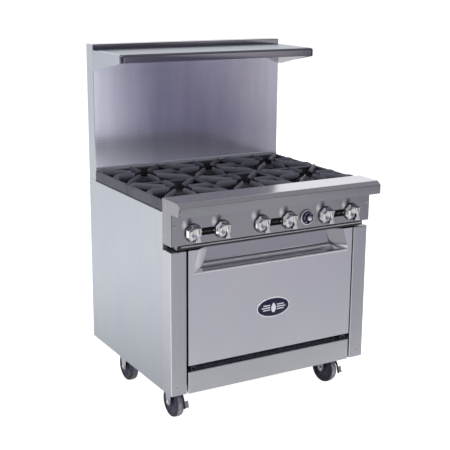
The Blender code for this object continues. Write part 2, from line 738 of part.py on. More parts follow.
def door_skin(steel):
    """The folded front of the door, with the scoop's rolled lip and a tab for each hinge pin."""
    block = box((-DOOR_HALF_W, FRONT, DOOR_BOTTOM), (DOOR_HALF_W, DOOR_BACK, DOOR_TOP))
    hollow = box((-DOOR_HALF_W + SHEET, FRONT + SHEET, DOOR_BOTTOM + SHEET),
                 (DOOR_HALF_W - SHEET, DOOR_BACK + 0.01, LIP_Z - 0.014))
    lip = rod(LIP_RADIUS, 2 * SCOOP_HALF_FRONT, "X",
              (-SCOOP_HALF_FRONT, FRONT + 0.0005, LIP_Z - 0.0035), 12)
    tabs, holes = [], []
    for x in (-HINGE_X, HINGE_X):
        tabs.append(box((x - 0.006, HINGE_Y - 0.007, HINGE_Z - 0.0065),
                        (x + 0.006, HINGE_Y + 0.007, DOOR_BOTTOM + SHEET / 2)))
        holes.append(rod(PIN_HOLE_R, 0.03, "X", (x - 0.015, HINGE_Y, HINGE_Z), 16))
    shape = fuse("shape", [block], [scoop_cutter(), hollow])
    skin = fuse("door_skin", [shape, lip, *tabs], holes, steel, smooth=30)
    place_on_axis(skin, (0, HINGE_Y, HINGE_Z))


def door_inside(enamel, rubber):
    """The inner plate that closes the door's back, and the seal around the oven's mouth."""
    thickness = 0.004
    plate = box((-0.372, DOOR_BACK + GAP, DOOR_BOTTOM + 0.006),
                (0.372, DOOR_BACK + GAP + thickness, DOOR_TOP - 0.012))
    plate.name = "door_liner"
    plate.data.materials.append(enamel)
    place_on_axis(plate, (0, HINGE_Y, HINGE_Z))

    front, back = DOOR_BACK + 2 * GAP + thickness, OVEN_FRONT - SHEET - GAP
    half, low, high, width = 0.352, 0.276, 0.680, 0.014
    ring = box((-half, front, low), (half, back, high))
    inside = box((-half + width, front - 0.01, low + width), (half - width, back + 0.01, high - width))
    seal = fuse("door_gasket", [ring], [inside], rubber)
    place_on_axis(seal, (0, HINGE_Y, HINGE_Z))


def door_badge(navy):
    """A domed oval plate in the middle of the door."""
    outline = [(0, 0), (BADGE_HALF_H, 0), (BADGE_HALF_H, 0.0022), (BADGE_HALF_H - 0.003, 0.0035),
               (BADGE_HALF_H - 0.0115, 0.0042), (0, 0.0050)]
    badge = turned(outline, 40, "-Y", (0, 0, 0), "door_badge", navy)
    badge.data.transform(Matrix.Diagonal((BADGE_HALF_W / BADGE_HALF_H, 1.0, 1.0, 1.0)))
    badge.data.transform(Matrix.Translation((0, FRONT - GAP - HINGE_Y, BADGE_Z - HINGE_Z)))
    badge.location = (0, HINGE_Y, HINGE_Z)


def door_hinges(dark):
    for side, name in ((-1, "door_hinge_left"), (1, "door_hinge_right")):
        x = side * HINGE_X
        base = box((x - 0.012, HINGE_Y - 0.006, KICK_TOP + GAP),
                   (x + 0.012, OVEN_FRONT - SHEET - GAP, KICK_TOP + GAP + 0.0035))
        ears = [
            box((x + low, HINGE_Y - 0.006, KICK_TOP + 0.001), (x + high, HINGE_Y + 0.0085, HINGE_Z + 0.006))
            for low, high in ((-0.012, -0.0063), (0.0063, 0.012))
        ]
        pin = rod(PIN_R, 0.022, "X", (x - 0.011, HINGE_Y, HINGE_Z), 16)
        fuse(name, [base, *ears, pin], finish=dark, smooth=30)


# ---------------------------------------------------------------- casters

def caster(name, place, angle, braked, zinc, rubber):
    """A swivel fork with its wheel, built about the swivel axis with the wheel trailing to -Y."""
    swivel = bpy.data.objects.new(f"{name}_swivel", None)
    swivel.location = (*place, 0)
    swivel.rotation_euler = (0, 0, -math.radians(angle))
    bpy.context.scene.collection.objects.link(swivel)
    parts = [caster_fork(name, braked, zinc), caster_wheel(name, rubber)]
    if braked:
        parts.append(caster_brake(name, zinc))
    for part in parts:
        part.parent = swivel


def caster_fork(name, braked, zinc):
    """Head disc, crown plate, two tapering legs and the fixed axle, with ears for the brake's pin."""
    plate_low = FORK_TOP - 0.0105
    leg_outline = [(0.026, plate_low + 0.002), (AXLE_Y - 0.030, plate_low + 0.002), (AXLE_Y - 0.020, 0.096),
                   (AXLE_Y - 0.016, WHEEL_R + 0.003), (AXLE_Y - 0.007, WHEEL_R - 0.012),
                   (AXLE_Y + 0.007, WHEEL_R - 0.012), (AXLE_Y + 0.018, WHEEL_R + 0.003),
                   (AXLE_Y + 0.0225, 0.092), (0.016, 0.120)]
    solids = []
    for side in (-1, 1):
        edges = sorted((side * FORK_HALF_W, side * (FORK_HALF_W - 0.003)))
        solids.append(prism(leg_outline, 0, edges[0], edges[1]))
    solids.append(box((-FORK_HALF_W, AXLE_Y - 0.030, plate_low), (FORK_HALF_W, 0.026, plate_low + 0.004)))
    head_low, head_high = plate_low - 0.001, plate_low + 0.006
    head = [(0, head_low), (0.030, head_low), (0.030, head_high), (0.022, FORK_TOP), (0, FORK_TOP)]
    solids.append(turned(head, 24))
    solids.append(rod(AXLE_R, 2 * FORK_HALF_W + 0.006, "X", (-FORK_HALF_W - 0.003, AXLE_Y, WHEEL_R), 12))
    if braked:
        front, back = AXLE_Y - 0.058, AXLE_Y - 0.028
        for side in (-1, 1):
            edges = sorted((side * 0.0195, side * 0.0165))
            solids.append(box((edges[0], front, 0.118), (edges[1], back, plate_low + 0.0015)))
        solids.append(box((-0.0195, front, plate_low - 0.001), (0.0195, back, plate_low + 0.003)))
    return fuse(f"{name}_fork", solids, finish=zinc, smooth=30)


def caster_wheel(name, rubber):
    half, web, rim, hub_half = WHEEL_WIDTH / 2, 0.010, WHEEL_R, 0.019
    one_side = [(AXLE_R + 0.0004, hub_half), (0.015, hub_half), (0.017, web), (0.042, web), (0.046, half),
                (rim - 0.004, half), (rim, half - 0.005)]
    outline = [(radius, -across) for radius, across in one_side] + one_side[::-1]
    wheel = turned(outline, 28, "X", (0, 0, 0), f"{name}_wheel", rubber)
    wheel.location = (0, AXLE_Y, WHEEL_R)
    return wheel


def caster_brake(name, zinc):
    """The brake pedal: a bent arm hung from a pin in the fork's ears, and the tab a toe presses."""
    y, z = AXLE_Y - 0.048, 0.126
    arm_outline = [(y + 0.006, z + 0.006), (y + 0.006, z - 0.005), (y - 0.021, z - 0.030),
                   (y - 0.032, z - 0.067), (y - 0.0385, z - 0.066), (y - 0.0275, z - 0.028),
                   (y - 0.004, z + 0.006)]
    arm = prism(arm_outline, 0, 0.0030, 0.0085)
    tab = prism([(y - 0.0255, z - 0.0385), (y - 0.0345, z - 0.0645), (y - 0.0375, z - 0.0635),
                 (y - 0.0285, z - 0.0375)], 0, 0.0080, 0.0250)
    pin = rod(0.003, 0.0320, "X", (-0.0160, y, z), 10)
    pedal = fuse(f"{name}_brake", [arm, tab, pin], finish=zinc)
    place_on_axis(pedal, (0, y, z))
    return pedal


# ---------------------------------------------------------------- build

def clear_scene():
    for item in list(bpy.data.objects):
        bpy.data.objects.remove(item)


def build():
    clear_scene()
    steel = material("brushed_steel", (0.66, 0.67, 0.69), 0.30, 1.0)
    dark = material("dark_steel", (0.10, 0.10, 0.11), 0.50, 0.6)
    iron = material("cast_iron", (0.075, 0.080, 0.095), 0.55, 0.3)
    chrome = material("chrome", (0.85, 0.85, 0.86), 0.10, 1.0)
    black = material("black_plate", (0.02, 0.02, 0.02), 0.40, 0.0)
    navy = material("navy_plastic", (0.02, 0.03, 0.08), 0.30, 0.0)
    brass = material("brass", (0.70, 0.55, 0.25), 0.35, 1.0)
    enamel = material("enamel", (0.16, 0.17, 0.20), 0.35, 0.1)
    wire = material("plated_wire", (0.70, 0.70, 0.71), 0.25, 1.0)
    rubber = material("rubber", (0.05, 0.05, 0.06), 0.70, 0.0)
    zinc = material("zinc", (0.70, 0.71, 0.73), 0.35, 1.0)

    side_panels(steel)
    rear_panel(steel)
    base_frame(dark)
    stiles(steel)
    kick_panel(steel)
    control_panel(steel)
    front_rail(steel)
    backguard(steel)
    high_shelf(steel)
    crumb_tray(steel)
    grates(iron)
    top_frame(dark)
    burners(iron)
    burner_knobs(chrome)
    thermostat(navy, chrome)
    label_plates(black)
    gas_manifold(brass)
    oven_liner(enamel)
    oven_deck(enamel)
    oven_burner(dark)
    rack_guides(wire)
    oven_rack(wire)
    flue_duct(enamel)
    door_skin(steel)
    door_inside(enamel, rubber)
    door_badge(navy)
    door_hinges(dark)
    for name, (place, angle, braked) in CASTERS.items():
        caster(f"caster_{name}", place, angle, braked, zinc, rubber)


build()
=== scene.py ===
"""Looks for the commercial gas range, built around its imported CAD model.

Metres, +Z up, front to -Y.  Each section below makes one group of pieces.
"""

import json
import math

import bmesh
import bpy
from mathutils import Matrix, Vector

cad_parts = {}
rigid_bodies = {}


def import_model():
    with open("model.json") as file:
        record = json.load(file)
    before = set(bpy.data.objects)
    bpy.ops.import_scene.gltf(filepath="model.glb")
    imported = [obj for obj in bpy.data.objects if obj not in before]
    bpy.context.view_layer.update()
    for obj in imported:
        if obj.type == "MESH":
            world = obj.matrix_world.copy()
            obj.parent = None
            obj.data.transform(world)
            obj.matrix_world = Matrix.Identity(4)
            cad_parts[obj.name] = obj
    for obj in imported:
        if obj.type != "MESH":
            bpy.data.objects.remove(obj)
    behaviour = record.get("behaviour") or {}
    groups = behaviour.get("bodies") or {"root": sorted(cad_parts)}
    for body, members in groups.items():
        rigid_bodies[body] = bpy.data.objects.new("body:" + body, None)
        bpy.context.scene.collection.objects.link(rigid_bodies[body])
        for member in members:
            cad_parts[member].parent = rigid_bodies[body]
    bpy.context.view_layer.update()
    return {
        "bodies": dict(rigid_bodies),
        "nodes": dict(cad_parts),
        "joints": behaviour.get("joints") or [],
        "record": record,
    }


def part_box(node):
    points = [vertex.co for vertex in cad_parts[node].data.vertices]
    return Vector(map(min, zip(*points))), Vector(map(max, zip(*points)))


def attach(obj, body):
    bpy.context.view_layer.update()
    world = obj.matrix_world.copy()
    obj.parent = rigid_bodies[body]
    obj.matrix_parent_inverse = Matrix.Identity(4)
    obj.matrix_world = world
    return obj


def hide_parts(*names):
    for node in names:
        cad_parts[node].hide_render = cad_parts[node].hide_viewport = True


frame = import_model()
BOX = {node: tuple(Vector(corner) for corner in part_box(node)) for node in frame["nodes"]}
MIDDLE = {node: (low + high) / 2 for node, (low, high) in BOX.items()}
JOINTS = {joint["name"]: joint for joint in frame["joints"]}

# Bodies that pieces ride on
FIXED = "range_body"
DOOR = "oven_door"

# Sizes that the boxes of the CAD nodes give
HALF_W = BOX["control_panel"][1].x
REAR = BOX["backguard"][1].y
FRONT = BOX["kick_panel"][0].y
SEAM = BOX["left_stile"][1].y
BODY_BOTTOM = BOX["left_stile"][0].z
STILE_TOP = BOX["left_stile"][1].z
SIDE_TOP = BOX["left_side_panel"][1].z
PANEL_FACE = BOX["control_panel"][0].y
PANEL_BOTTOM = BOX["control_panel"][0].z
RAIL_FRONT = BOX["front_rail"][0].y
RAIL_BOTTOM = BOX["front_rail"][0].z
RAIL_TOP = BOX["front_rail"][1].z
GUARD_FRONT = BOX["backguard"][0].y
HEIGHT = BOX["backguard"][1].z
SHELF_TOP = BOX["high_shelf"][1].z
DOOR_HALF_W = BOX["door_skin"][1].x
DOOR_TOP = BOX["door_skin"][1].z
DOOR_BACK = BOX["door_skin"][1].y
HINGE_X = MIDDLE["door_hinge_right"].x
GRATE_TOP = BOX["grate_2"][1].z
GRATE_LOW = BOX["grate_2"][0].z

# Sizes inside those boxes
SHEET = 0.0015
DOOR_BOTTOM = 0.272
RAIL_EDGE = -0.418
RAIL_NOSE = 0.921
LIP_Z = 0.646
CREASE_Z = 0.676
SCOOP_DEPTH = 0.043
SCOOP_HALF_FRONT = 0.362
SCOOP_HALF_BACK = 0.293
SCOOP_LEAN = 0.28
SHELF_LIP = 0.034
KNOB_R = 0.0325
PIN_Y, PIN_Z = -0.35, 0.262
GRATE_RIM = 0.012
RIM_TOP = GRATE_TOP - 0.0125

# What repeats
RIB_DIRECTIONS = [(x, y) for x in (-1, 0, 1) for y in (-1, 0, 1) if x or y]
SIX = range(1, 7)
SIDES = ((-1, "left"), (1, "right"))
CASTERS = ("front_left", "front_right", "rear_left", "rear_right")

DIRECTIONS = {"+X": Vector((1, 0, 0)), "-X": Vector((-1, 0, 0)), "+Y": Vector((0, 1, 0)),
              "-Y": Vector((0, -1, 0)), "+Z": Vector((0, 0, 1)), "-Z": Vector((0, 0, -1))}


# ------------------------------------------------------------ shader helpers

def shader_of(look):
    return look.node_tree.nodes["Principled BSDF"]


def base_look(name, colour, roughness, metallic, coat=0.0, coat_roughness=0.1, specular=0.5):
    look = bpy.data.materials.new(name)
    look.use_nodes = True
    for socket, value in (("Base Color", (*colour, 1)), ("Roughness", roughness), ("Metallic", metallic),
                          ("Coat Weight", coat), ("Coat Roughness", coat_roughness), ("Specular IOR Level", specular)):
        shader_of(look).inputs[socket].default_value = value
    return look


def add_node(look, kind, sockets=None, **settings):
    """A node with its settings; each socket gets a value, or a link from another node's output."""
    node = look.node_tree.nodes.new(kind)
    for key, value in settings.items():
        setattr(node, key, value)
    for key, value in (sockets or {}).items():
        if isinstance(value, bpy.types.NodeSocket):
            link(look, value, node.inputs[key])
        else:
            node.inputs[key].default_value = value
    return node


def link(look, source, target):
    look.node_tree.links.new(source, target)


def place(look):
    """Where a point is, in the object's own metres."""
    return add_node(look, "ShaderNodeTexCoord").outputs["Object"]


def noise(look, scale, detail=3.0, roughness=0.55):
    """Noise over the object's own metres, stretched by a scale for each axis."""
    scales = scale if isinstance(scale, (list, tuple)) else (scale,) * 3
    stretch = add_node(look, "ShaderNodeMapping", {"Vector": place(look), "Scale": scales})
    return add_node(look, "ShaderNodeTexNoise", {"Vector": stretch.outputs["Vector"], "Scale": 1.0, "Detail": detail,
                                                 "Roughness": roughness}).outputs["Fac"]


def part_way(look, axis, low, high):
    """How far along one of its axes a point of the object is, from 0 at low to 1 at high."""
    split = add_node(look, "ShaderNodeSeparateXYZ", {"Vector": place(look)})
    return spread(look, split.outputs[axis], 0.0, 1.0, low, high)


def cells(look, scale, output="Distance"):
    return add_node(look, "ShaderNodeTexVoronoi", {"Vector": place(look), "Scale": scale}).outputs[output]


def ramp(look, value, *stops):
    """A colour ramp through (position, colour) stops."""
    node = add_node(look, "ShaderNodeValToRGB", {"Fac": value})
    elements = node.color_ramp.elements
    while len(elements) < len(stops):
        elements.new(0.5)
    for element, (position, colour) in zip(elements, stops):
        element.position = position
        element.color = (*colour, 1)
    return node.outputs["Color"]


def spread(look, value, low, high, start=0.3, end=0.7):
    """The value, mapped from its own middle range onto low to high."""
    return add_node(look, "ShaderNodeMapRange", {"Value": value, "From Min": start, "From Max": end, "To Min": low,
                                                 "To Max": high}).outputs["Result"]


def blend_colours(look, first, second, mode="MULTIPLY"):
    return add_node(look, "ShaderNodeMix", {0: 1.0, 6: first, 7: second}, data_type="RGBA", blend_type=mode).outputs[2]


def set_colour(look, colour):
    link(look, colour, shader_of(look).inputs["Base Color"])


def shade_colour(look, shade, mode="MULTIPLY"):
    """Multiply the look's colour by a shade, or add it."""
    tone = shader_of(look).inputs["Base Color"].links[0].from_socket
    set_colour(look, blend_colours(look, tone, shade, mode))


def set_roughness(look, value):
    link(look, value, shader_of(look).inputs["Roughness"])


def relief(look, *layers):
    """Bumps one on another: each layer is (value, height in metres, strength)."""
    normal = None
    for value, distance, strength in layers:
        bump = add_node(look, "ShaderNodeBump", {"Height": value, "Distance": distance, "Strength": strength})
        if normal:
            link(look, normal, bump.inputs["Normal"])
        normal = bump.outputs["Normal"]
    link(look, normal, shader_of(look).inputs["Normal"])


# ------------------------------------------------------------ materials

def brushed(name, colour, roughness, along, wave=0.0004, grain=0.12, metal=1.0, smear=0.0):
    """Stainless sheet with fine brushing along one axis, faint smudges and a slightly wavy face.

    Smear draws the reflections out across the brushing.
    """
    look = base_look(name, colour, roughness, metal)
    shader_of(look).inputs["Anisotropic"].default_value = smear
    shader_of(look).inputs["Anisotropic Rotation"].default_value = 0.25
    lines, bands = (noise(look, [long if axis == along else fine for axis in "XYZ"])
                    for fine, long in ((900.0, 7.0), (150.0, 2.5)))
    dark = tuple(part * (1 - 0.2 * grain) for part in colour)
    light = tuple(min(1.0, part * (1 + 0.15 * grain)) for part in colour)
    set_colour(look, ramp(look, bands, (0.3, dark), (0.7, light)))
    shade_colour(look, ramp(look, noise(look, 3.2, 4.0), (0.25, (0.94, 0.94, 0.965)), (0.75, (1.0, 1.0, 1.0))))
    set_roughness(look, spread(look, lines, roughness - 0.3 * grain, roughness + 0.45 * grain))
    relief(look, (noise(look, 2.1, 1.0), wave, 0.6), (lines, 0.00002, grain))
    return look


def cove_sheet():
    """The scoop's polished cove, with painted shade darkening it in towards its crease."""
    look = brushed("steel_cove", (0.9, 0.9, 0.92), 0.08, "X", grain=0.03)
    shade_colour(look, ramp(look, part_way(look, "Z", LIP_Z, CREASE_Z), (0.0, (1, 1, 1)), (0.42, (0.95, 0.95, 0.96)),
                            (0.66, (0.3, 0.29, 0.31)), (1.0, (0.45, 0.44, 0.46))))
    return look


def guard_sheet():
    """The backguard's face: polished sheet with a painted reflection, pale at the left edge and violet across the
    middle; painted light added low at the left; less metallic down at its foot.
    """
    look = brushed("steel_guard", (0.6, 0.6, 0.66), 0.16, "X", wave=0.0006, grain=0.04)
    across = part_way(look, "X", -HALF_W, HALF_W)
    rise = part_way(look, "Z", 0.93, 1.1)
    # Painted reflection: pale at the left edge, darker violet through the middle, lighter again towards the right.
    shade_colour(look, ramp(look, across, (0.0, (1.35, 1.35, 1.32)), (0.08, (1.1, 1.1, 1.1)),
                            (0.32, (0.58, 0.57, 0.64)), (0.72, (0.55, 0.53, 0.6)), (0.86, (0.66, 0.64, 0.67)),
                            (1.0, (0.86, 0.85, 0.86))))
    shade_colour(look, ramp(look, noise(look, (16.0, 16.0, 2.0)), (0.3, (0.86, 0.86, 0.88)), (0.7, (1.0, 1.0, 1.0))))
    # Painted light added along the foot, strongest at the left.
    foot = ramp(look, rise, (0.0, (0.24, 0.24, 0.3)), (1.0, (0, 0, 0)))
    left = ramp(look, across, (0.0, (1, 1, 1)), (0.45, (0.25, 0.25, 0.25)), (1.0, (0, 0, 0)))
    shade_colour(look, blend_colours(look, foot, left), "ADD")
    link(look, spread(look, rise, 0.3, 0.94, 0.0, 1.0), shader_of(look).inputs["Metallic"])
    return look


def control_sheet():
    """The control panel: brushed sheet, with a painted shadow above each knob and a painted highlight beside it."""
    look = brushed("steel_panel", (0.42, 0.42, 0.44), 0.25, "X", grain=0.05, smear=0.8)
    here = place(look)
    # Per knob: a painted shadow just above it, multiplied in, and a painted highlight up to its left, added in.
    marks = ((-0.014, 0.04, 0.013, 0.026, (0.3, 0.28, 0.3), (1, 1, 1), "MULTIPLY"),
             (-0.036, 0.034, 0.014, 0.024, (0.5, 0.49, 0.49), (0, 0, 0), "ADD"))
    for number in SIX:
        centre = MIDDLE[f"burner_knob_{number}"]
        for right, up, wide, tall, strength, rest, mode in marks:
            point = here
            for operation, vector in (("SUBTRACT", (centre.x + right, 0, centre.z + up)),
                                      ("MULTIPLY", (1 / wide, 0, 1 / tall))):
                point = add_node(look, "ShaderNodeVectorMath", {0: point, 1: vector}, operation=operation).outputs[0]
            reach = add_node(look, "ShaderNodeVectorMath", {0: point}, operation="LENGTH").outputs["Value"]
            shade_colour(look, ramp(look, reach, (0.15, strength), (1.0, rest)), mode)
    return look


def polished(name, colour, roughness, wave=0.0004):
    """Mirror-bright metal with faint wiping marks."""
    look = base_look(name, colour, roughness, 1.0)
    marks = noise(look, 38.0, 5.0)
    set_roughness(look, spread(look, marks, roughness, roughness + 0.07))
    set_colour(look, ramp(look, noise(look, 9.0, 3.0), (0.3, tuple(part * 0.93 for part in colour)), (0.7, colour)))
    relief(look, (noise(look, 26.0, 2.0), wave, 0.35))
    return look


def cast_iron(name, painted_low_shade=0.0):
    """Sand-cast and seasoned iron: dark blue-grey, pebbled, with paler rubbed patches, and, if given a share, painted
    shade that darkens it low down.
    """
    look = base_look(name, (0.06, 0.062, 0.078), 0.55, 0.0, specular=0.35)
    pebbles = noise(look, 340.0, 5.0, 0.7)
    set_colour(look, ramp(look, noise(look, 14.0, 4.0), (0.32, (0.074, 0.074, 0.098)), (0.7, (0.108, 0.108, 0.138))))
    shade_colour(look, ramp(look, pebbles, (0.35, (0.75, 0.75, 0.78)), (0.7, (1.12, 1.12, 1.12))))
    # Painted shade: the lower parts of the grate are darkened by the given share.
    if painted_low_shade:
        rise = part_way(look, "Z", GRATE_LOW, GRATE_TOP)
        shade_colour(look, ramp(look, rise, (0.05, (1 - painted_low_shade,) * 3), (0.85, (1, 1, 1))))
    set_roughness(look, spread(look, pebbles, 0.46, 0.66))
    relief(look, (noise(look, 60.0), 0.0005, 0.3), (pebbles, 0.00025, 0.4))
    return look


def flecked(name, colour, roughness, flecks, paler, stops, shinier, grain, **shine):
    """Paint, rubber or plastic: flecked a little paler and duller, over a fine grain."""
    look = base_look(name, colour, roughness, 0.0, **shine)
    marks = noise(look, *flecks)
    pale = tuple(part * paler[0] + paler[1] for part in colour)
    set_colour(look, ramp(look, marks, (stops[0], colour), (stops[1], pale)))
    set_roughness(look, spread(look, marks, roughness - shinier, roughness + 0.12))
    relief(look, (noise(look, *grain[:2]), *grain[2:]))
    return look


def painted_dark(name, colour, roughness):
    return flecked(name, colour, roughness, (24.0, 6.0), (1.9, 0.01), (0.45, 0.78), 0.06, (420.0, 3.0, 0.00012, 0.4),
                   coat=0.1)


def enamel():
    """Porcelain enamel: glossy dark blue-grey with white flecks."""
    look = base_look("porcelain_enamel", (0.05, 0.06, 0.09), 0.22, 0.0, coat=0.5)
    set_colour(look, ramp(look, cells(look, 210.0), (0.1, (0.55, 0.58, 0.62)), (0.19, (0.05, 0.058, 0.085))))
    set_roughness(look, spread(look, noise(look, 30.0), 0.16, 0.34))
    relief(look, (noise(look, 90.0, 2.0), 0.0003, 0.3))
    return look


def galvanised():
    """Zinc-coated sheet with its spangle of crystals."""
    look = base_look("galvanised_sheet", (0.56, 0.58, 0.6), 0.42, 1.0)
    grey = add_node(look, "ShaderNodeRGBToBW", {"Color": cells(look, 85.0, "Color")}).outputs["Val"]
    set_colour(look, ramp(look, grey, (0.2, (0.47, 0.49, 0.52)), (0.8, (0.64, 0.66, 0.68))))
    set_roughness(look, spread(look, grey, 0.34, 0.52, 0.1, 0.9))
    relief(look, (noise(look, 4.0, 2.0), 0.0006, 0.4))
    return look


def rubber(name, colour, roughness=0.62):
    return flecked(name, colour, roughness, (70.0, 6.0), (1.8, 0.015), (0.42, 0.8), 0.08, (500.0, 2.0, 0.0001, 0.4),
                   specular=0.4)


def glossy(name, colour, roughness=0.16, coat=0.6, specular=0.5):
    return flecked(name, colour, roughness, (55.0, 5.0), (1.25, 0.004), (0.4, 0.8), 0.0, (240.0, 2.0, 0.00006, 0.3),
                   coat=coat, coat_roughness=0.05, specular=specular)


LOOKS = {
    "side": brushed("steel_side", (0.5, 0.53, 0.57), 0.36, "Z"),
    "gusset": brushed("steel_gusset", (0.46, 0.49, 0.54), 0.42, "Y", metal=0.6),
    "inner": brushed("steel_inner", (0.86, 0.86, 0.88), 0.5, "Y", metal=0.15),
    "stile": brushed("steel_stile", (0.54, 0.55, 0.575), 0.34, "Z"),
    "front": brushed("steel_front", (0.42, 0.42, 0.44), 0.25, "X", grain=0.06, smear=0.8),
    "panel": control_sheet(),
    "shelf": brushed("steel_shelf", (0.46, 0.5, 0.57), 0.34, "X", grain=0.05),
    # A paler copy of the steel for the rail's flat top: painted light.
    "ledge": brushed("steel_ledge", (0.66, 0.65, 0.71), 0.22, "X", grain=0.05, metal=0.8),
    "kick": brushed("steel_kick", (0.58, 0.59, 0.61), 0.3, "X", grain=0.04),
    "door": brushed("steel_door", (0.69, 0.69, 0.735), 0.27, "X", grain=0.008, smear=0.5),
    "guard": guard_sheet(),
    # Dark copies of the steel for the strip above the shelf and the shelf's front lip: painted shade.
    "shade_strip": brushed("steel_trim", (0.22, 0.21, 0.24), 0.11, "X", wave=0.0002, grain=0.05),
    "lip": brushed("steel_lip", (0.19, 0.185, 0.21), 0.11, "X", wave=0.0002, grain=0.05),
    "cove": cove_sheet(),
    # A darker copy of the door's steel for the scoop's back wall: painted shade.
    "wall": brushed("steel_wall", (0.44, 0.43, 0.47), 0.24, "X", grain=0.02, smear=0.5),
    # A bright, less metallic copy of the steel for the scoop's left end: painted highlight.
    "facet": brushed("steel_facet", (0.96, 0.96, 0.96), 0.22, "Z", grain=0.03, metal=0.35),
    # A darker copy of the steel for the rail's end caps: painted shade.
    "cap": brushed("steel_cap", (0.31, 0.31, 0.33), 0.3, "Z"),
    "edge": polished("steel_edge", (0.9, 0.9, 0.92), 0.16),
    "chrome": polished("chrome_cast", (0.94, 0.93, 0.92), 0.05, wave=0.0007),
    "wire": polished("nickel_wire", (0.74, 0.74, 0.75), 0.16),
    "screw": polished("screw_steel", (0.8, 0.8, 0.82), 0.2),
    "zinc": brushed("zinc_plate", (0.62, 0.64, 0.69), 0.3, "Z", wave=0.0003),
    "brass": polished("brass_valve", (0.72, 0.56, 0.26), 0.24),
    "iron": cast_iron("cast_iron_skin"),
    "ribs": cast_iron("cast_iron_burnt", 0.75),
    "head": painted_dark("burner_black", (0.007, 0.007, 0.009), 0.6),
    "dark": painted_dark("black_heat_paint", (0.016, 0.016, 0.02), 0.48),
    "pipe": painted_dark("black_pipe", (0.045, 0.045, 0.048), 0.42),
    "plate": glossy("black_label_plate", (0.005, 0.005, 0.006), 0.5, 0.0, 0.05),
    "print": glossy("grey_mark", (0.2, 0.2, 0.22), 0.4),
    "navy": glossy("navy_enamel", (0.01, 0.01, 0.036), 0.2, 0.15, 0.25),
    "pale": glossy("pale_mark", (0.7, 0.72, 0.75), 0.3),
    "enamel": enamel(),
    "galvanised": galvanised(),
    "gasket": rubber("gasket_rubber", (0.028, 0.028, 0.032)),
    "tyre": rubber("tyre_rubber", (0.02, 0.02, 0.034), 0.34),
    # A darker copy of the tread rubber for its shoulders: painted shade.
    "shoulder": rubber("tread_shoulder", (0.09, 0.088, 0.125), 0.42),
    "tread": rubber("tread_grey", (0.26, 0.255, 0.31), 0.4),
    "hub": rubber("hub_plastic", (0.06, 0.058, 0.095), 0.35),
}
# Painted light: the gusset liner's pale look also glows a little, brightening that face in the shade under the shelf.
shader_of(LOOKS["inner"]).inputs["Emission Color"].default_value = (1, 1, 1, 1)
shader_of(LOOKS["inner"]).inputs["Emission Strength"].default_value = 0.35


# ------------------------------------------------------------ mesh helpers

def arc(first, second, radius, angles):
    """Points of a circle about a centre, one for each angle in degrees."""
    return [(first + radius * math.cos(math.radians(angle)), second + radius * math.sin(math.radians(angle)))
            for angle in angles]


def rounded_loop(low, high, corner, wide):
    """A closed path with round corners, set in from a rectangle by the bar's own radius."""
    inset = corner + wide
    path = []
    for first, second, start in ((high[0] - inset, high[1] - inset, 0), (low[0] + inset, high[1] - inset, 90),
                                 (low[0] + inset, low[1] + inset, 180), (high[0] - inset, low[1] + inset, 270)):
        path += arc(first, second, corner, range(start, start + 91, 15))
    return [*path, path[0]]


def pair(side, first, second):
    """Two distances from the middle on one side of it, in rising order."""
    return sorted((side * first, side * second))


def cube(low, high):
    bm = bmesh.new()
    bmesh.ops.create_cube(bm, size=1.0)
    bmesh.ops.scale(bm, vec=Vector(high) - Vector(low), verts=bm.verts)
    bmesh.ops.translate(bm, vec=(Vector(high) + Vector(low)) / 2, verts=bm.verts)
    return bm


def prism(outline, axis, start, end):
    """An outline in the other two axes, in X, Y, Z order, extruded along an axis."""
    rings = []
    for level in (start, end):
        rings.append([(*point[:axis], level, *point[axis:]) for point in outline])
    return loft(rings)


def bridge(bm, first, second, closed=True):
    count = len(first)
    for step in range(count if closed else count - 1):
        after = (step + 1) % count
        bm.faces.new((first[step], first[after], second[after], second[step]))


def loft(rings, hoop=False):
    """Closed rings of points, skinned one to the next.  The ends are filled, or joined into a hoop."""
    bm = bmesh.new()
    loops = [[bm.verts.new(point) for point in ring] for ring in rings]
    for first, second in zip(loops, loops[1:]):
        bridge(bm, first, second)
    if hoop:
        bridge(bm, loops[-1], loops[0])
    else:
        bm.faces.new(loops[0])
        bm.faces.new(loops[-1])
    return bm


def turned(way):
    """The turn that points +Z another way."""
    return Vector((0, 0, 1)).rotation_difference(way).to_matrix().to_4x4()


def lathe(profile, segments=32, axis="+Z", at=(0, 0, 0)):
    """A profile of (radius, height) points turned about an axis.  Ends off the axis close into a ring."""
    bm = bmesh.new()
    rows = []
    for radius, rise in profile:
        angles = [math.tau * step / segments for step in range(segments)] if radius > 1e-6 else [0]
        rows.append([bm.verts.new((radius * math.cos(angle), radius * math.sin(angle), rise)) for angle in angles])
    pairs = list(zip(rows, rows[1:]))
    if len(rows[0]) > 1 and len(rows[-1]) > 1:
        pairs.append((rows[-1], rows[0]))
    for first, second in pairs:
        if len(first) > 1 and len(second) > 1:
            bridge(bm, first, second)
            continue
        tip, ring = sorted((first, second), key=len)
        for step in range(segments):
            bm.faces.new((tip[0], ring[step], ring[(step + 1) % segments]))
    return moved(bm, Matrix.Translation(at) @ turned(DIRECTIONS[axis]))


def bar(radius, start, end, sides=16, bend=0.0006):
    """A straight round bar with slightly rounded ends."""
    way = Vector(end) - Vector(start)
    bm = lathe([(0, 0), (radius - bend, 0), (radius, bend), (radius, way.length - bend), (radius - bend, way.length),
                (0, way.length)], sides)
    return moved(bm, Matrix.Translation(start) @ turned(way))


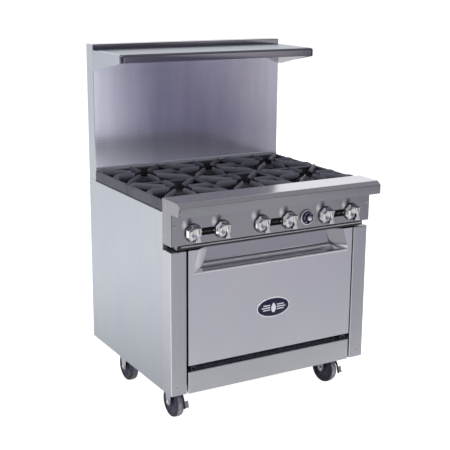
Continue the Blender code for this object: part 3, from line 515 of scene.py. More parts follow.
def tube_along(points, radius, sides=12):
    """A round bar bent along a path of points."""
    points = [Vector(point) for point in points]
    rings = []
    side = None
    for point, behind, ahead in zip(points, [points[0], *points], [*points[1:], points[-1]]):
        forward = (ahead - behind).normalized()
        if side is None:
            side = forward.orthogonal().normalized()
        side = (side - forward * side.dot(forward)).normalized()
        over = forward.cross(side)
        rings.append([point + side * out + over * up
                      for out, up in arc(0, 0, radius, [360 * step / sides for step in range(sides)])])
    return loft(rings)


def joined(*parts):
    """All the parts in one bmesh."""
    whole = bmesh.new()
    for part in parts:
        mesh = bpy.data.meshes.new("part")
        part.to_mesh(mesh)
        whole.from_mesh(mesh)
        bpy.data.meshes.remove(mesh)
        part.free()
    return whole


def moved(bm, matrix):
    bmesh.ops.transform(bm, matrix=matrix, verts=bm.verts)
    return bm


def bevel(bm, edges, width, steps=4):
    bmesh.ops.bevel(bm, geom=edges, offset=width, segments=steps, profile=0.5, affect="EDGES", clamp_overlap=True)
    return bm


def round_edges(bm, width, steps=3, angle=28):
    """Bevel every edge of a bmesh that is sharper than the angle."""
    bm.normal_update()
    bmesh.ops.recalc_face_normals(bm, faces=bm.faces)
    return bevel(bm, [edge for edge in bm.edges
                      if len(edge.link_faces) == 2 and edge.calc_face_angle(0) > math.radians(angle)], width, steps)


def add(name, bm, look, body=FIXED, nodes=(), edge=0.0, steps=3, wall=0.0, smooth=32):
    """Make a piece from a bmesh or a list of them, with its edges, wall, look, body and what it stands for."""
    if isinstance(bm, list):
        bm = joined(*bm)
    if edge:
        round_edges(bm, edge, steps)
    bmesh.ops.recalc_face_normals(bm, faces=bm.faces)
    mesh = bpy.data.meshes.new(name)
    bm.to_mesh(mesh)
    bm.free()
    mesh.shade_smooth()
    mesh.set_sharp_from_angle(angle=math.radians(smooth))
    piece = bpy.data.objects.new(name, mesh)
    bpy.context.scene.collection.objects.link(piece)
    for one in look if isinstance(look, (list, tuple)) else (look,):
        mesh.materials.append(LOOKS[one])
    if wall:
        sheet = piece.modifiers.new("sheet", "SOLIDIFY")
        sheet.thickness = wall
        sheet.offset = -1
        sheet.use_even_offset = True
    weighted = piece.modifiers.new("normals", "WEIGHTED_NORMAL")
    weighted.keep_sharp = True
    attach(piece, body)
    if nodes:
        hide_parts(*nodes)
    return piece


def block(low, high, edge, steps=2):
    return round_edges(cube(low, high), edge, steps)


def open_box(low, high, open_side, radius, steps=3):
    """A folded sheet box: rounded folds, one side left open.  It needs a wall."""
    bm = cube(low, high)
    bm.normal_update()
    lid = [face for face in bm.faces if face.normal.dot(DIRECTIONS[open_side]) > 0.9]
    bmesh.ops.delete(bm, geom=lid, context="FACES_ONLY")
    return round_edges(bm, radius, steps)


def paint(bm, index, test):
    """Give the look at this index to every face that passes the test of its normal and its middle."""
    bm.normal_update()
    for face in bm.faces:
        if test(face.normal, face.calc_center_median()):
            face.material_index = index
    return bm


# ------------------------------------------------------------ screws

def screw_head(radius=0.0045, height=0.0024):
    """A domed pan head with a cross recess, pointing along +Z, seated at z = 0."""
    dome = [(0, -0.0006), (radius, -0.0006), (radius, height * 0.35)]
    for step in range(1, 5):
        angle = step / 4 * math.pi / 2
        dome.append((radius * math.cos(angle) if step < 4 else 0, height * (0.35 + 0.65 * math.sin(angle))))
    return lathe(dome, 20)


def cross_recess(radius=0.0045, height=0.0024):
    """The cross in a screw head, as two slim raised-edge bars just below its crown, in a dark look: painted shade
    standing in for the recess.
    """
    arm, half = radius * 0.52, radius * 0.11
    top = height + 0.00005
    return joined(cube((-arm, -half, height * 0.6), (arm, half, top)),
                  cube((-half, -arm, height * 0.6), (half, arm, top)))


def screws(name, places, facing, body=FIXED, radius=0.0045):
    """One piece with a screw head at each place, and its dark recesses."""
    heads, crosses = [], []
    for number, at in enumerate(places):
        seat = Matrix.Translation(at) @ turned(DIRECTIONS[facing]) @ Matrix.Rotation(0.7 * number + 0.3, 4, "Z")
        heads.append(moved(screw_head(radius), seat))
        crosses.append(moved(cross_recess(radius), seat))
    add(f"{name}_heads", joined(*heads), "screw", body, smooth=40)
    add(f"{name}_recesses", joined(*crosses), "dark", body)


# ------------------------------------------------------------ casing

def channel(name, node, fold, look):
    """A folded sheet, open at the back, with a painted highlight along its left fold."""
    sheet = open_box(*BOX[node], "+Y", fold, 4)
    paint(sheet, 1, lambda normal, middle: normal.y < -0.25 and normal.x < -0.25)
    add(name, sheet, [look, "edge"], nodes=[node], wall=SHEET)


def casing_sides():
    for side, name, outward, inward in ((-1, "left", "-X", "+X"), (1, "right", "+X", "-X")):
        low, high = BOX[f"{name}_side_panel"]
        start, end = pair(side, HALF_W, HALF_W - 0.02)
        add(f"{name}_side_sheet", open_box((start, low.y, low.z), (end, high.y, high.z), inward, 0.0022), "side",
            nodes=[f"{name}_side_panel"], wall=SHEET)
        # Painted shadow: a dark strip along the top of the side panel, under the grate's skirt.
        start, end = pair(side, HALF_W - 0.001, HALF_W + 0.0008)
        add(f"{name}_top_shadow_strip", cube((start, low.y + 0.004, high.z - 0.0046), (end, GUARD_FRONT, high.z - 0.0002)),
            "dark", edge=0.0004, steps=1)
        start, end = pair(side, HALF_W - 0.002, 0.418)
        add(f"{name}_tray_runner", cube((start, low.y + 0.01, 0.7387), (end, 0.3, 0.7402)), "galvanised",
            edge=0.0004)
        channel(f"{name}_stile_channel", f"{name}_stile", 0.004, "stile")
        middle = side * (HALF_W - 0.034)
        screws(f"{name}_stile_screws", [(middle - 0.0005 + side * 0.0035, FRONT, STILE_TOP - 0.0085),
                                        (middle - 0.004 + side * 0.006, FRONT, BODY_BOTTOM + 0.032)], "-Y")
        screws(f"{name}_side_screws", [(side * HALF_W, REAR - 0.012, z) for z in (0.2, 0.42, 0.64, 0.86)], outward,
               radius=0.004)
    channel("kick_plate", "kick_panel", 0.0035, "kick")


def rail_outline(radius=0.0035, steps=5):
    """Section of the front rail in Y and Z: ledge, rolled nose and drop lip, and back down the panel."""
    seam, edge, nose, foot = ((SEAM, RAIL_TOP), (RAIL_EDGE, RAIL_TOP), (RAIL_FRONT, RAIL_NOSE),
                              (RAIL_FRONT, RAIL_BOTTOM))
    points = [seam]
    for before, corner, after in ((seam, edge, nose), (edge, nose, foot)):
        corner = Vector(corner)
        start, end = (corner + (Vector(other) - corner).normalized() * radius for other in (before, after))
        for share in (step / steps for step in range(steps + 1)):
            points.append(tuple(start.lerp(corner, share).lerp(corner.lerp(end, share), share)))
    return [*points, foot]


def front_rail():
    """The landing ledge, with end caps that run on down the sides of the control panel."""
    bm = bmesh.new()
    ends = (-HALF_W, HALF_W)
    rows = [[bm.verts.new((x, y, z)) for y, z in rail_outline()] for x in ends]
    bridge(bm, rows[0], rows[1], closed=False)
    inner = ((PANEL_FACE - 0.004, RAIL_BOTTOM), (PANEL_FACE, RAIL_BOTTOM - 0.004), (PANEL_FACE, PANEL_BOTTOM),
             (SEAM, PANEL_BOTTOM))
    caps = [bm.faces.new([*row, *[bm.verts.new((x, y, z)) for y, z in inner]]) for row, x in zip(rows, ends)]
    folds = [edge for edge in bm.edges if len(edge.link_faces) == 2
             and any(face in caps for face in edge.link_faces)]
    bevel(bm, folds, 0.0035)
    # Painted light and shade: the end caps take a darker copy of the steel, the flat top a paler one.
    paint(bm, 1, lambda normal, middle: abs(normal.x) > 0.8)
    paint(bm, 2, lambda normal, middle: abs(normal.z) > 0.96 and middle.z > 0.9)
    add("front_rail_ledge", bm, ["front", "cap", "ledge"], nodes=["front_rail"], wall=SHEET)
    add("front_rail_hem", cube((-HALF_W + 0.003, RAIL_FRONT + 0.0016, RAIL_BOTTOM),
                               (HALF_W - 0.003, RAIL_FRONT + 0.012, RAIL_BOTTOM + 0.002)), "front", edge=0.0004)


def control_panel():
    half = HALF_W - 0.0022
    outline = [(SEAM - 0.004, PANEL_BOTTOM), (PANEL_FACE, PANEL_BOTTOM), (PANEL_FACE, RAIL_TOP - 0.006)]
    bm = bmesh.new()
    rows = [[bm.verts.new((x, y, z)) for y, z in outline] for x in (-half, half)]
    bridge(bm, rows[0], rows[1], closed=False)
    bevel(bm, [edge for edge in bm.edges if len(edge.link_faces) == 2], 0.0025)
    add("control_panel_face", bm, "panel", nodes=["control_panel"], wall=SHEET)
    for side, name, facing in ((-1, "panel_end_screws", "-X"), (1, "panel_right_end_screws", "+X")):
        screws(name, [(side * HALF_W, -0.33, z) for z in (0.8, 0.905)], facing, radius=0.0042)
    screws("panel_face_screws", [(side * (HALF_W - 0.014), PANEL_FACE, 0.835) for side in (1, -1)], "-Y",
           radius=0.004)


def crumb_tray():
    """The pull-out tray: a shallow pan behind a slim rolled lip, with a painted shadow on its front where it goes under
    the lip.
    """
    low, high = BOX["crumb_tray"]
    pan = open_box((low.x, low.y + 0.011, low.z), high, "+Z", 0.0016, 2)
    # Painted shadow: the pan's front face, under the lip, takes the black look.
    paint(pan, 1, lambda normal, middle: normal.y < -0.3 and middle.y < low.y + 0.02)
    add("crumb_tray_pan", pan, ["front", "dark"], "tray", nodes=["crumb_tray"], wall=0.001)
    roll = 0.003
    outline = [(low.y + 0.0115, high.z), 
               *arc(low.y + roll, high.z - roll, roll, [90 + 22.5 * step for step in range(9)]),
               (low.y + 0.0115, high.z - 2 * roll)]
    add("crumb_tray_lip", prism(outline, 0, low.x + 0.012, high.x - 0.012), "kick", "tray", edge=0.0006, steps=2)


def backguard():
    """A deep sheet box: polished face, the strip above the shelf darkened as painted shade, and a folded hem at its
    foot.
    """
    low, high = BOX["backguard"]
    shell = open_box(low, high, "-Z", 0.003, 4)
    everything = list(shell.verts) + list(shell.edges) + list(shell.faces)
    bmesh.ops.bisect_plane(shell, geom=everything, plane_co=(0, 0, SHELF_TOP), plane_no=(0, 0, 1))
    # Painted shade: the face above the shelf takes a dark copy of the steel.
    paint(shell, 1, lambda normal, middle: normal.y < -0.5 and middle.z > SHELF_TOP)
    paint(shell, 2, lambda normal, middle: abs(normal.x) > 0.6 or middle.y > REAR - 0.004)
    add("backguard_sheet", shell, ["guard", "shade_strip", "side"], nodes=["backguard"], wall=SHEET)
    hem = [(GUARD_FRONT - y, z) for y, z in ((0.0002, 0.923), (0.0035, 0.924), (0.0035, 0.936), (0.0002, 0.939))]
    add("backguard_hem", prism(hem, 0, low.x + 0.002, high.x - 0.002), "gusset", edge=0.0006)
    slots = [cube((x - 0.03, REAR - 0.0005, HEIGHT - 0.06), (x + 0.03, REAR + 0.0012, HEIGHT - 0.045))
             for x in (-0.12, -0.04, 0.04, 0.12)]
    add("flue_slot_frames", slots, "dark", edge=0.0005)
    screws("backguard_screws", [(side * (HALF_W - 0.02), REAR, z) for side in (-1, 1) for z in (0.92, 1.17, 1.43)],
           "+Y")


def high_shelf():
    """Shelf sheet with a rolled front lip, round front corners and a deep gusset at each end."""
    low, high = BOX["high_shelf"]
    corner, roll = 0.016, 0.009
    edge = [(-HALF_W, high.y), *arc(-HALF_W + corner, low.y + corner, corner, range(180, 271, 15)),
            *arc(HALF_W - corner, low.y + corner, corner, range(270, 361, 15)), (HALF_W, high.y)]

    def lowest(y):
        share = (y - low.y) / (high.y - 0.03 - low.y)
        return SHELF_TOP - SHELF_LIP - min(max(share, 0), 1) * (SHELF_TOP - SHELF_LIP - low.z)

    rings = []
    for angle in (math.pi / 8 * step for step in range(5)):
        inset, drop = roll * (1 - math.sin(angle)), roll * (1 - math.cos(angle))
        rings.append([(x - (math.copysign(inset, x) if abs(x) > HALF_W - corner - 1e-6 else 0),
                       y + (inset if y < low.y + corner + 1e-6 else 0), SHELF_TOP - drop) for x, y in edge])
    rings.append([(x, y, lowest(y)) for x, y in edge])
    bm = bmesh.new()
    loops = [[bm.verts.new(point) for point in ring] for ring in rings]
    bm.faces.new(loops[0])
    for first, second in zip(loops, loops[1:]):
        bridge(bm, first, second, closed=False)
    # Painted shade: the rolled front lip takes a dark copy of the steel.
    paint(bm, 1, lambda normal, middle: middle.y < low.y + corner and abs(normal.z) < 0.85)
    paint(bm, 2, lambda normal, middle: abs(normal.z) > 0.85)
    paint(bm, 3, lambda normal, middle: abs(normal.x) > 0.6 and middle.y > low.y + corner)
    # A pale liner on the right gusset's inner face, in the glowing look: painted light where that face is in shade.
    liner = prism([(low.y + 0.018, SHELF_TOP - SHELF_LIP + 0.002), (low.y + 0.018, SHELF_TOP - 0.004),
                   (high.y - 0.004, SHELF_TOP - 0.004), (high.y - 0.004, low.z + 0.001),
                   (high.y - 0.03, low.z + 0.001)], 0, HALF_W - SHEET - 0.0008, HALF_W - SHEET + 0.0002)
    add("high_shelf_gusset_liner", liner, "inner")
    add("high_shelf_sheet", bm, ["guard", "lip", "shelf", "gusset"], nodes=["high_shelf"],
        wall=SHEET, smooth=40)
    flange = cube((-HALF_W + 0.003, high.y - 0.0025, low.z + 0.002),
                  (HALF_W - 0.003, high.y - 0.001, SHELF_TOP - 0.002))
    add("high_shelf_back_flange", flange, "guard", edge=0.0003, steps=1)


def rear_side():
    low, high = BOX["rear_panel"]
    add("rear_sheet", open_box(low, high, "-Y", 0.0006, 2), "galvanised", nodes=["rear_panel"],
        wall=0.0008)
    louvres = []
    for z in (0.56 + 0.024 * row for row in range(7)):
        outline = [(high.y - 0.0005 + 0.006 * out, z + 0.011 * up) for up, out in arc(0, 0, 1, (0, 22.5, 45, 67.5, 90))]
        outline.append((high.y - 0.0005, z - 0.0005))
        louvres += [prism(outline, 0, x - 0.11, x + 0.11) for x in (-0.2, 0.2)]
    add("rear_louvres", louvres, "galvanised", edge=0.0008, steps=2)
    for z in (0.36, 0.5):
        rib = prism([(high.y - 0.0004, z - 0.01), (high.y + 0.003, z - 0.005), (high.y + 0.003, z + 0.005),
                     (high.y - 0.0004, z + 0.01)], 0, -0.4, 0.4)
        add(f"rear_stiffener_{round(z * 100)}", rib, "galvanised", edge=0.0015, steps=3)
    screws("rear_screws", [(side * (HALF_W - 0.01), REAR, z) for side in (-1, 1)
                           for z in (0.2, 0.38, 0.56, 0.74, 0.86)], "+Y")


# ------------------------------------------------------------ cooking top

def grate_rib(start, end):
    """A cast fin with broad sloping sides: low and pointed at the rim, undercut and blunt by the burner."""
    run = Vector((end[0] - start[0], end[1] - start[1], 0))
    length = run.length
    across = Vector((-run.y, run.x, 0)).normalized()
    shape = ((0.0, 0.003, 0.0012, RIM_TOP - 0.0015, 0.0), (0.012, 0.007, 0.0014, GRATE_TOP - 0.0045, 0.0),
             (0.026, 0.0095, 0.0016, GRATE_TOP, -0.003), (length * 0.6, 0.0092, 0.0016, GRATE_TOP, -0.0045),
             (length - 0.012, 0.008, 0.0016, GRATE_TOP, 0.0), (length, 0.0056, 0.0015, GRATE_TOP - 0.0004, 0.009))
    rings = []
    for along, half, ridge, top, rise in shape:
        base = Vector((*start, 0)) + run.normalized() * along
        low = GRATE_LOW + rise
        section = ((-half, low), (-half, low + 0.0022), (-ridge, top), (ridge, top), (half, low + 0.0022), (half, low))
        rings.append([base + across * side + Vector((0, 0, z)) for side, z in section])
    return loft(rings)


def grate_section(column):
    """Rim and eight ribs about the grate's own middle; an outer grate has a deep skirt along its side."""
    low, high = BOX[f"grate_{column + 2}"]
    half_x, half_y = (high.x - low.x) / 2, (high.y - low.y) / 2
    plan = [(-half_x, -half_y), (half_x, -half_y), (half_x, half_y), (-half_x, half_y)]
    rings = []
    for inset, z in ((0.0008, GRATE_LOW), (0, GRATE_LOW + 0.006), (0.001, RIM_TOP), (GRATE_RIM - 0.001, RIM_TOP),
                     (GRATE_RIM, GRATE_LOW + 0.006), (GRATE_RIM - 0.0008, GRATE_LOW)):
        rings.append([(x - math.copysign(inset, x), y - math.copysign(inset, y), z) for x, y in plan])
    parts = [round_edges(loft(rings, hoop=True), 0.0015, 2)]
    if column:
        outer = column * half_x
        skirt = prism([(outer, low.z), (outer, RIM_TOP - 0.001), (outer - column * 0.011, RIM_TOP - 0.001),
                       (outer - column * 0.0085, low.z)], 1, -half_y, half_y)
        parts.append(round_edges(skirt, 0.002, 3))
    inset = GRATE_RIM * 0.55
    for side_x, side_y in RIB_DIRECTIONS:
        start = Vector((side_x * (half_x - inset), side_y * (half_y - inset)))
        reach = 0.056 if side_x and side_y else 0.043
        parts.append(round_edges(grate_rib(start, start.normalized() * reach), 0.0006, 2, 16))
        if side_x and side_y:
            parts.append(lathe([(0, GRATE_LOW), (0.0085, GRATE_LOW), (0.007, RIM_TOP + 0.002), (0, RIM_TOP + 0.002)],
                               14, at=(side_x * (half_x - 0.0105), side_y * (half_y - 0.0105), 0)))
    return joined(*parts)


def grates():
    for column in (-1, 0, 1):
        for number in (column + 2, column + 5):
            middle = MIDDLE[f"grate_{number}"]
            shape = moved(grate_section(column), Matrix.Translation((middle.x, middle.y, 0)))
            paint(shape, 1, lambda normal, middle: abs(middle.x) > HALF_W - 0.03)
            add(f"cast_grate_{number}", shape, ["ribs", "iron"], f"lift_grate_{number}", [f"grate_{number}"],
                smooth=22)


def burner_head(x, y):
    """A cast head with slots cut round its edge and a lighter ring around the middle."""
    segments, slot_every = 96, 4
    head = lathe([(0, 0.866), (0.03, 0.866), (0.036, 0.868), (0.0515, 0.8795), (0.052, 0.8815), (0.052, 0.885),
                  (0.052, 0.8925), (0.05, 0.895), (0.0425, 0.9035), (0.04, 0.905), (0.017, 0.905),
                  (0.0155, 0.9035), (0.009, 0.8985), (0, 0.8985)], segments)
    for vert in head.verts:
        radius = math.hypot(vert.co.x, vert.co.y)
        step = round(math.atan2(vert.co.y, vert.co.x) / math.tau * segments) % slot_every
        if radius > 0.042 and 0.884 < vert.co.z < 0.9045 and step == 0:
            vert.co.x *= 1 - 0.0065 / radius
            vert.co.y *= 1 - 0.0065 / radius
    return moved(head, Matrix.Translation((x, y, 0)))


def burners():
    for number in SIX:
        low = BOX[f"burner_{number}"][0]
        x, y, _ = MIDDLE[f"grate_{number}"]
        valve_x = MIDDLE[f"burner_knob_{(2 * ((number - 1) % 3)) + (2 if number < 4 else 1)}"].x
        z = low.z + 0.013
        neck = lathe([(0, 0.818), (0.0155, 0.818), (0.0165, 0.84), (0.02, 0.868), (0, 0.868)], 28, at=(x, y, 0))
        tube = tube_along([(valve_x, at, z) for at in (low.y + 0.065, low.y + 0.075, y - 0.02, y + 0.002)], 0.012, 20)
        bell = lathe([(0.0085, 0), (0.013, 0), (0.015, 0.004), (0.015, 0.03), (0.0125, 0.052), (0.0115, 0.06),
                      (0.01, 0.06)], 28, "+Y", (valve_x, low.y, z))
        left, right = sorted((valve_x, x))
        elbow = block((left - 0.012, y - 0.011, z - 0.0125), (right + 0.012, y + 0.011, z + 0.0115), 0.006, 4)
        add(f"burner_casting_{number}", [neck, tube, bell, elbow], "iron", nodes=[f"burner_{number}"],
            smooth=38)
        add(f"burner_head_{number}", burner_head(x, y), "head", smooth=35)
        shutter = lathe([(0.0152, 0.006), (0.0162, 0.006), (0.0162, 0.026), (0.0152, 0.026)], 28, "+Y",
                        (valve_x, low.y, z))
        add(f"air_shutter_{number}", shutter, "galvanised", edge=0.0003, steps=1)


def top_frame():
    """Bars under the grates, bars under the burners, and the hangers between them."""
    low, high = BOX["top_frame"]
    ledge = SIDE_TOP + 0.0003
    front, back, hangers = low.y + 0.01, high.y - 0.01, (-0.43, 0.43)
    bars = [((low.x, y - 0.01, ledge), (high.x, y + 0.01, high.z)) for y in (front, (low.y + high.y) / 2, back)]
    bars += [((x - 0.008, front, ledge + 0.001), (x + 0.008, back, high.z)) for x in (-HALF_W / 3, HALF_W / 3)]
    for y in (front + 0.018, back - 0.098):
        bars.append(((-0.434, y - 0.01, low.z), (0.434, y + 0.01, low.z + 0.012)))
        bars += [((x - 0.004, y - 0.01, low.z + 0.002), (x + 0.004, y + 0.01, ledge + 0.004)) for x in hangers]
    bars += [((x - 0.004, front, ledge), (x + 0.004, back, ledge + 0.011)) for x in hangers]
    add("top_frame_bars", [block(*corners, 0.0015) for corners in bars], "dark", nodes=["top_frame"])


# ------------------------------------------------------------ controls

def face_ring(radius, depth):
    """An octagon in X and Z at a depth in front of the panel."""
    return [(x, -depth, z) for x, z in arc(0, 0, radius, [45 * step + 22.5 for step in range(8)])]


def knob_grip():
    """The grip: waisted in plan, narrower and rounder towards its front."""
    rings = []
    for depth, grow in ((0.015, 1.1), (0.02, 1.0), (0.044, 0.97), (0.0478, 0.86), (0.0497, 0.66)):
        right = []
        for step in range(13):
            z = -0.027 + 0.054 * step / 12
            right.append((0.007 + 0.007 * abs(z / 0.027) ** 1.6, z))
        outline = right + [(-x, z) for x, z in reversed(right)]
        shrink = (1 - grow) * 0.012
        rings.append([(x - math.copysign(min(shrink, abs(x) * 0.6), x), -depth, z * (1 - (1 - grow) * 0.16))
                      for x, z in outline])
    return loft(rings)


def knobs():
    radius = KNOB_R / math.cos(math.pi / 8)
    for number in SIX:
        node, body = f"burner_knob_{number}", f"knob_{number}"
        centre = Vector((MIDDLE[node].x, PANEL_FACE - 0.0003, MIDDLE[node].z))
        seat = Matrix.Translation(centre)
        skirt = loft([face_ring(radius * share, depth) for share, depth in
                      ((0.96, 0), (1, 0.0015), (1, 0.0085), (0.8, 0.0185), (0.55, 0.0215), (0.2, 0.0225))])
        casting = joined(round_edges(skirt, 0.0018, 3, 15), round_edges(knob_grip(), 0.0012, 3, 35))
        add(f"knob_casting_{number}", moved(casting, seat), "chrome", body, [node], smooth=40)
        mark = cube((-0.0011, -0.0502, 0.006), (0.0011, -0.0485, 0.0215))
        add(f"knob_pointer_{number}", moved(mark, seat), "plate", body, edge=0.0004, steps=1)
        stem = bar(0.004, centre + Vector((0, -0.002, 0)), centre + Vector((0, 0.0155, 0)))
        add(f"knob_stem_{number}", stem, "brass", body)
        # A thin black ring round each knob, in the rubber look: painted shadow in the gap behind the knob.
        ring = lathe([(0.03, 0.0004), (0.036, 0.0004), (0.0362, 0.0012), (0.0358, 0.002), (0.033, 0.0024),
                      (0.03, 0.002)], 48, "-Y", (centre.x, PANEL_FACE, centre.z))
        add(f"knob_shadow_ring_{number}", ring, "gasket")


def thermostat():
    middle = MIDDLE["thermostat_bezel"]
    centre = Vector((middle.x, PANEL_FACE - 0.0003, middle.z))
    ring = lathe([(0.0262, 0), (0.0315, 0), (0.0317, 0.002), (0.0315, 0.0055), (0.0302, 0.0082), (0.0282, 0.0092),
                  (0.0265, 0.0088), (0.0262, 0.007)], 64, "-Y", centre)
    add("thermostat_ring", ring, "edge", nodes=["thermostat_bezel"], smooth=50)
    dial = lathe([(0, 0.001), (0.0252, 0.001), (0.0252, 0.0112), (0.024, 0.0138), (0.0218, 0.0142), (0.013, 0.0142),
                  (0.0118, 0.015), (0.0112, 0.02), (0, 0.02)], 64, "-Y", centre)
    add("thermostat_dial", dial, "navy", "oven_knob", ["thermostat_knob"], smooth=40)
    button = lathe([(0, 0.019), (0.0104, 0.019), (0.0106, 0.0215), (0.0098, 0.025), (0.0076, 0.0276),
                    (0.0042, 0.029), (0, 0.0293)], 40, "-Y", centre)
    add("thermostat_button", button, "chrome", "oven_knob", smooth=60)

    def around(shape, angle):
        return moved(shape, Matrix.Translation(centre) @ Matrix.Rotation(angle, 4, "Y"))

    ticks = [around(cube((-0.0005, -0.0147, 0.018 if step % 3 else 0.0152), (0.0005, -0.0139, 0.0216)),
                    math.radians(150 - 300 * step / 19)) for step in range(20)]
    add("thermostat_ticks", ticks, "pale", "oven_knob")
    lobes = [around(block((-0.0016, -0.0185, 0.0112), (0.0016, -0.013, 0.0245), 0.001), math.tau * step / 6)
             for step in range(6)]
    add("thermostat_grips", lobes, "navy", "oven_knob")


def label_plates():
    """Black plates with a rivet at each end and a plain row of flame-size marks."""
    for name in ("left", "middle", "right"):
        node = f"label_plate_{name}"
        low, high = BOX[node]
        middle = MIDDLE[node]
        plate = cube(low, high)
        corners = [edge for edge in plate.edges
                   if max(abs(edge.verts[0].co[axis] - edge.verts[1].co[axis]) for axis in (0, 2)) < 1e-6]
        bevel(plate, corners, 0.0025)
        add(f"label_plate_face_{name}", plate, "plate", nodes=[node], edge=0.0003, steps=2)
        rivets = [lathe([(0, 0), (0.0027, 0), (0.0026, 0.0008), (0.0017, 0.0017), (0, 0.002)], 20, "-Y",
                        (x, low.y + 0.0002, middle.z)) for x in (low.x + 0.005, high.x - 0.005)]
        add(f"label_rivets_{name}", rivets, "screw", smooth=60)
        marks = []
        for x, half in ((-0.014, 0.0016), (-0.007, 0.0023), (0.0, 0.003), (0.007, 0.0023), (0.014, 0.0016)):
            marks.append(cube((middle.x + x - 0.0007, low.y - 0.0002, middle.z - half),
                              (middle.x + x + 0.0007, low.y + 0.0004, middle.z + half)))
        add(f"label_marks_{name}", marks, "print", edge=0.0001, steps=1)


def manifold():
    """Gas pipe from the rear inlet to the front, the cross pipe, and a valve behind each knob."""
    z = BOX["gas_manifold"][0].z + 0.018
    x, y, bend = 0.415, -0.325, 0.03
    path = [(-0.405, y), (-0.385, y), (x - bend, y), *arc(x - bend, y + bend, bend, range(-75, 1, 15)),
            (x, REAR - 0.01)]
    pipe = tube_along([(*point, z) for point in path], 0.0135, 28)
    add("manifold_pipe", pipe, "pipe", nodes=["gas_manifold"], smooth=45)
    rings = [lathe([(0.01, 0), (0.0128, 0), (0.0135, 0.001), (0.0135, 0.035), (0.01, 0.035)], 36, "+Y",
                   (x, REAR - 0.012, z))]
    rings += [lathe([(0.013, 0), (0.0141, 0.0008), (0.013, 0.0016)], 36, "+Y", (x, REAR + 0.0185 + 0.0008 * step, z))
              for step in range(9)]
    add("inlet_nipple", rings, "pipe", smooth=45)
    nut = lathe([(0.0132, 0), (0.018, 0), (0.0196, 0.002), (0.0196, 0.014), (0.018, 0.016), (0.0132, 0.016)], 6,
                "+Y", (x, REAR + 0.002, z))
    add("inlet_nut", nut, "pipe", edge=0.0007, steps=2)
    cap = lathe([(0, 0), (0.015, 0), (0.0165, 0.0015), (0.0165, 0.022), (0, 0.022)], 8, "+X", (-0.412, y, z))
    add("manifold_end_cap", cap, "pipe", edge=0.001, steps=2)

    def valve_body(x, front, top):
        return block((x - 0.0105, front, z), (x + 0.0105, y + 0.004, top), 0.003, 3)

    valves = []
    for middle in (MIDDLE[f"burner_knob_{number}"] for number in SIX):
        valves += [valve_body(middle.x, -0.348, 0.8285),
                   lathe([(0, 0), (0.0085, 0), (0.0098, 0.0015), (0.0098, 0.01), (0, 0.01)], 6, "-Y",
                         (middle.x, -0.342, middle.z)),
                   lathe([(0.0016, 0), (0.005, 0), (0.005, 0.026), (0.0034, 0.032), (0.0016, 0.032)], 18, "+Y",
                         (middle.x, y, 0.826))]
    valves.append(valve_body(MIDDLE["thermostat_knob"].x, -0.35, 0.831))
    add("gas_valves", valves, "brass", smooth=40)


# ------------------------------------------------------------ oven

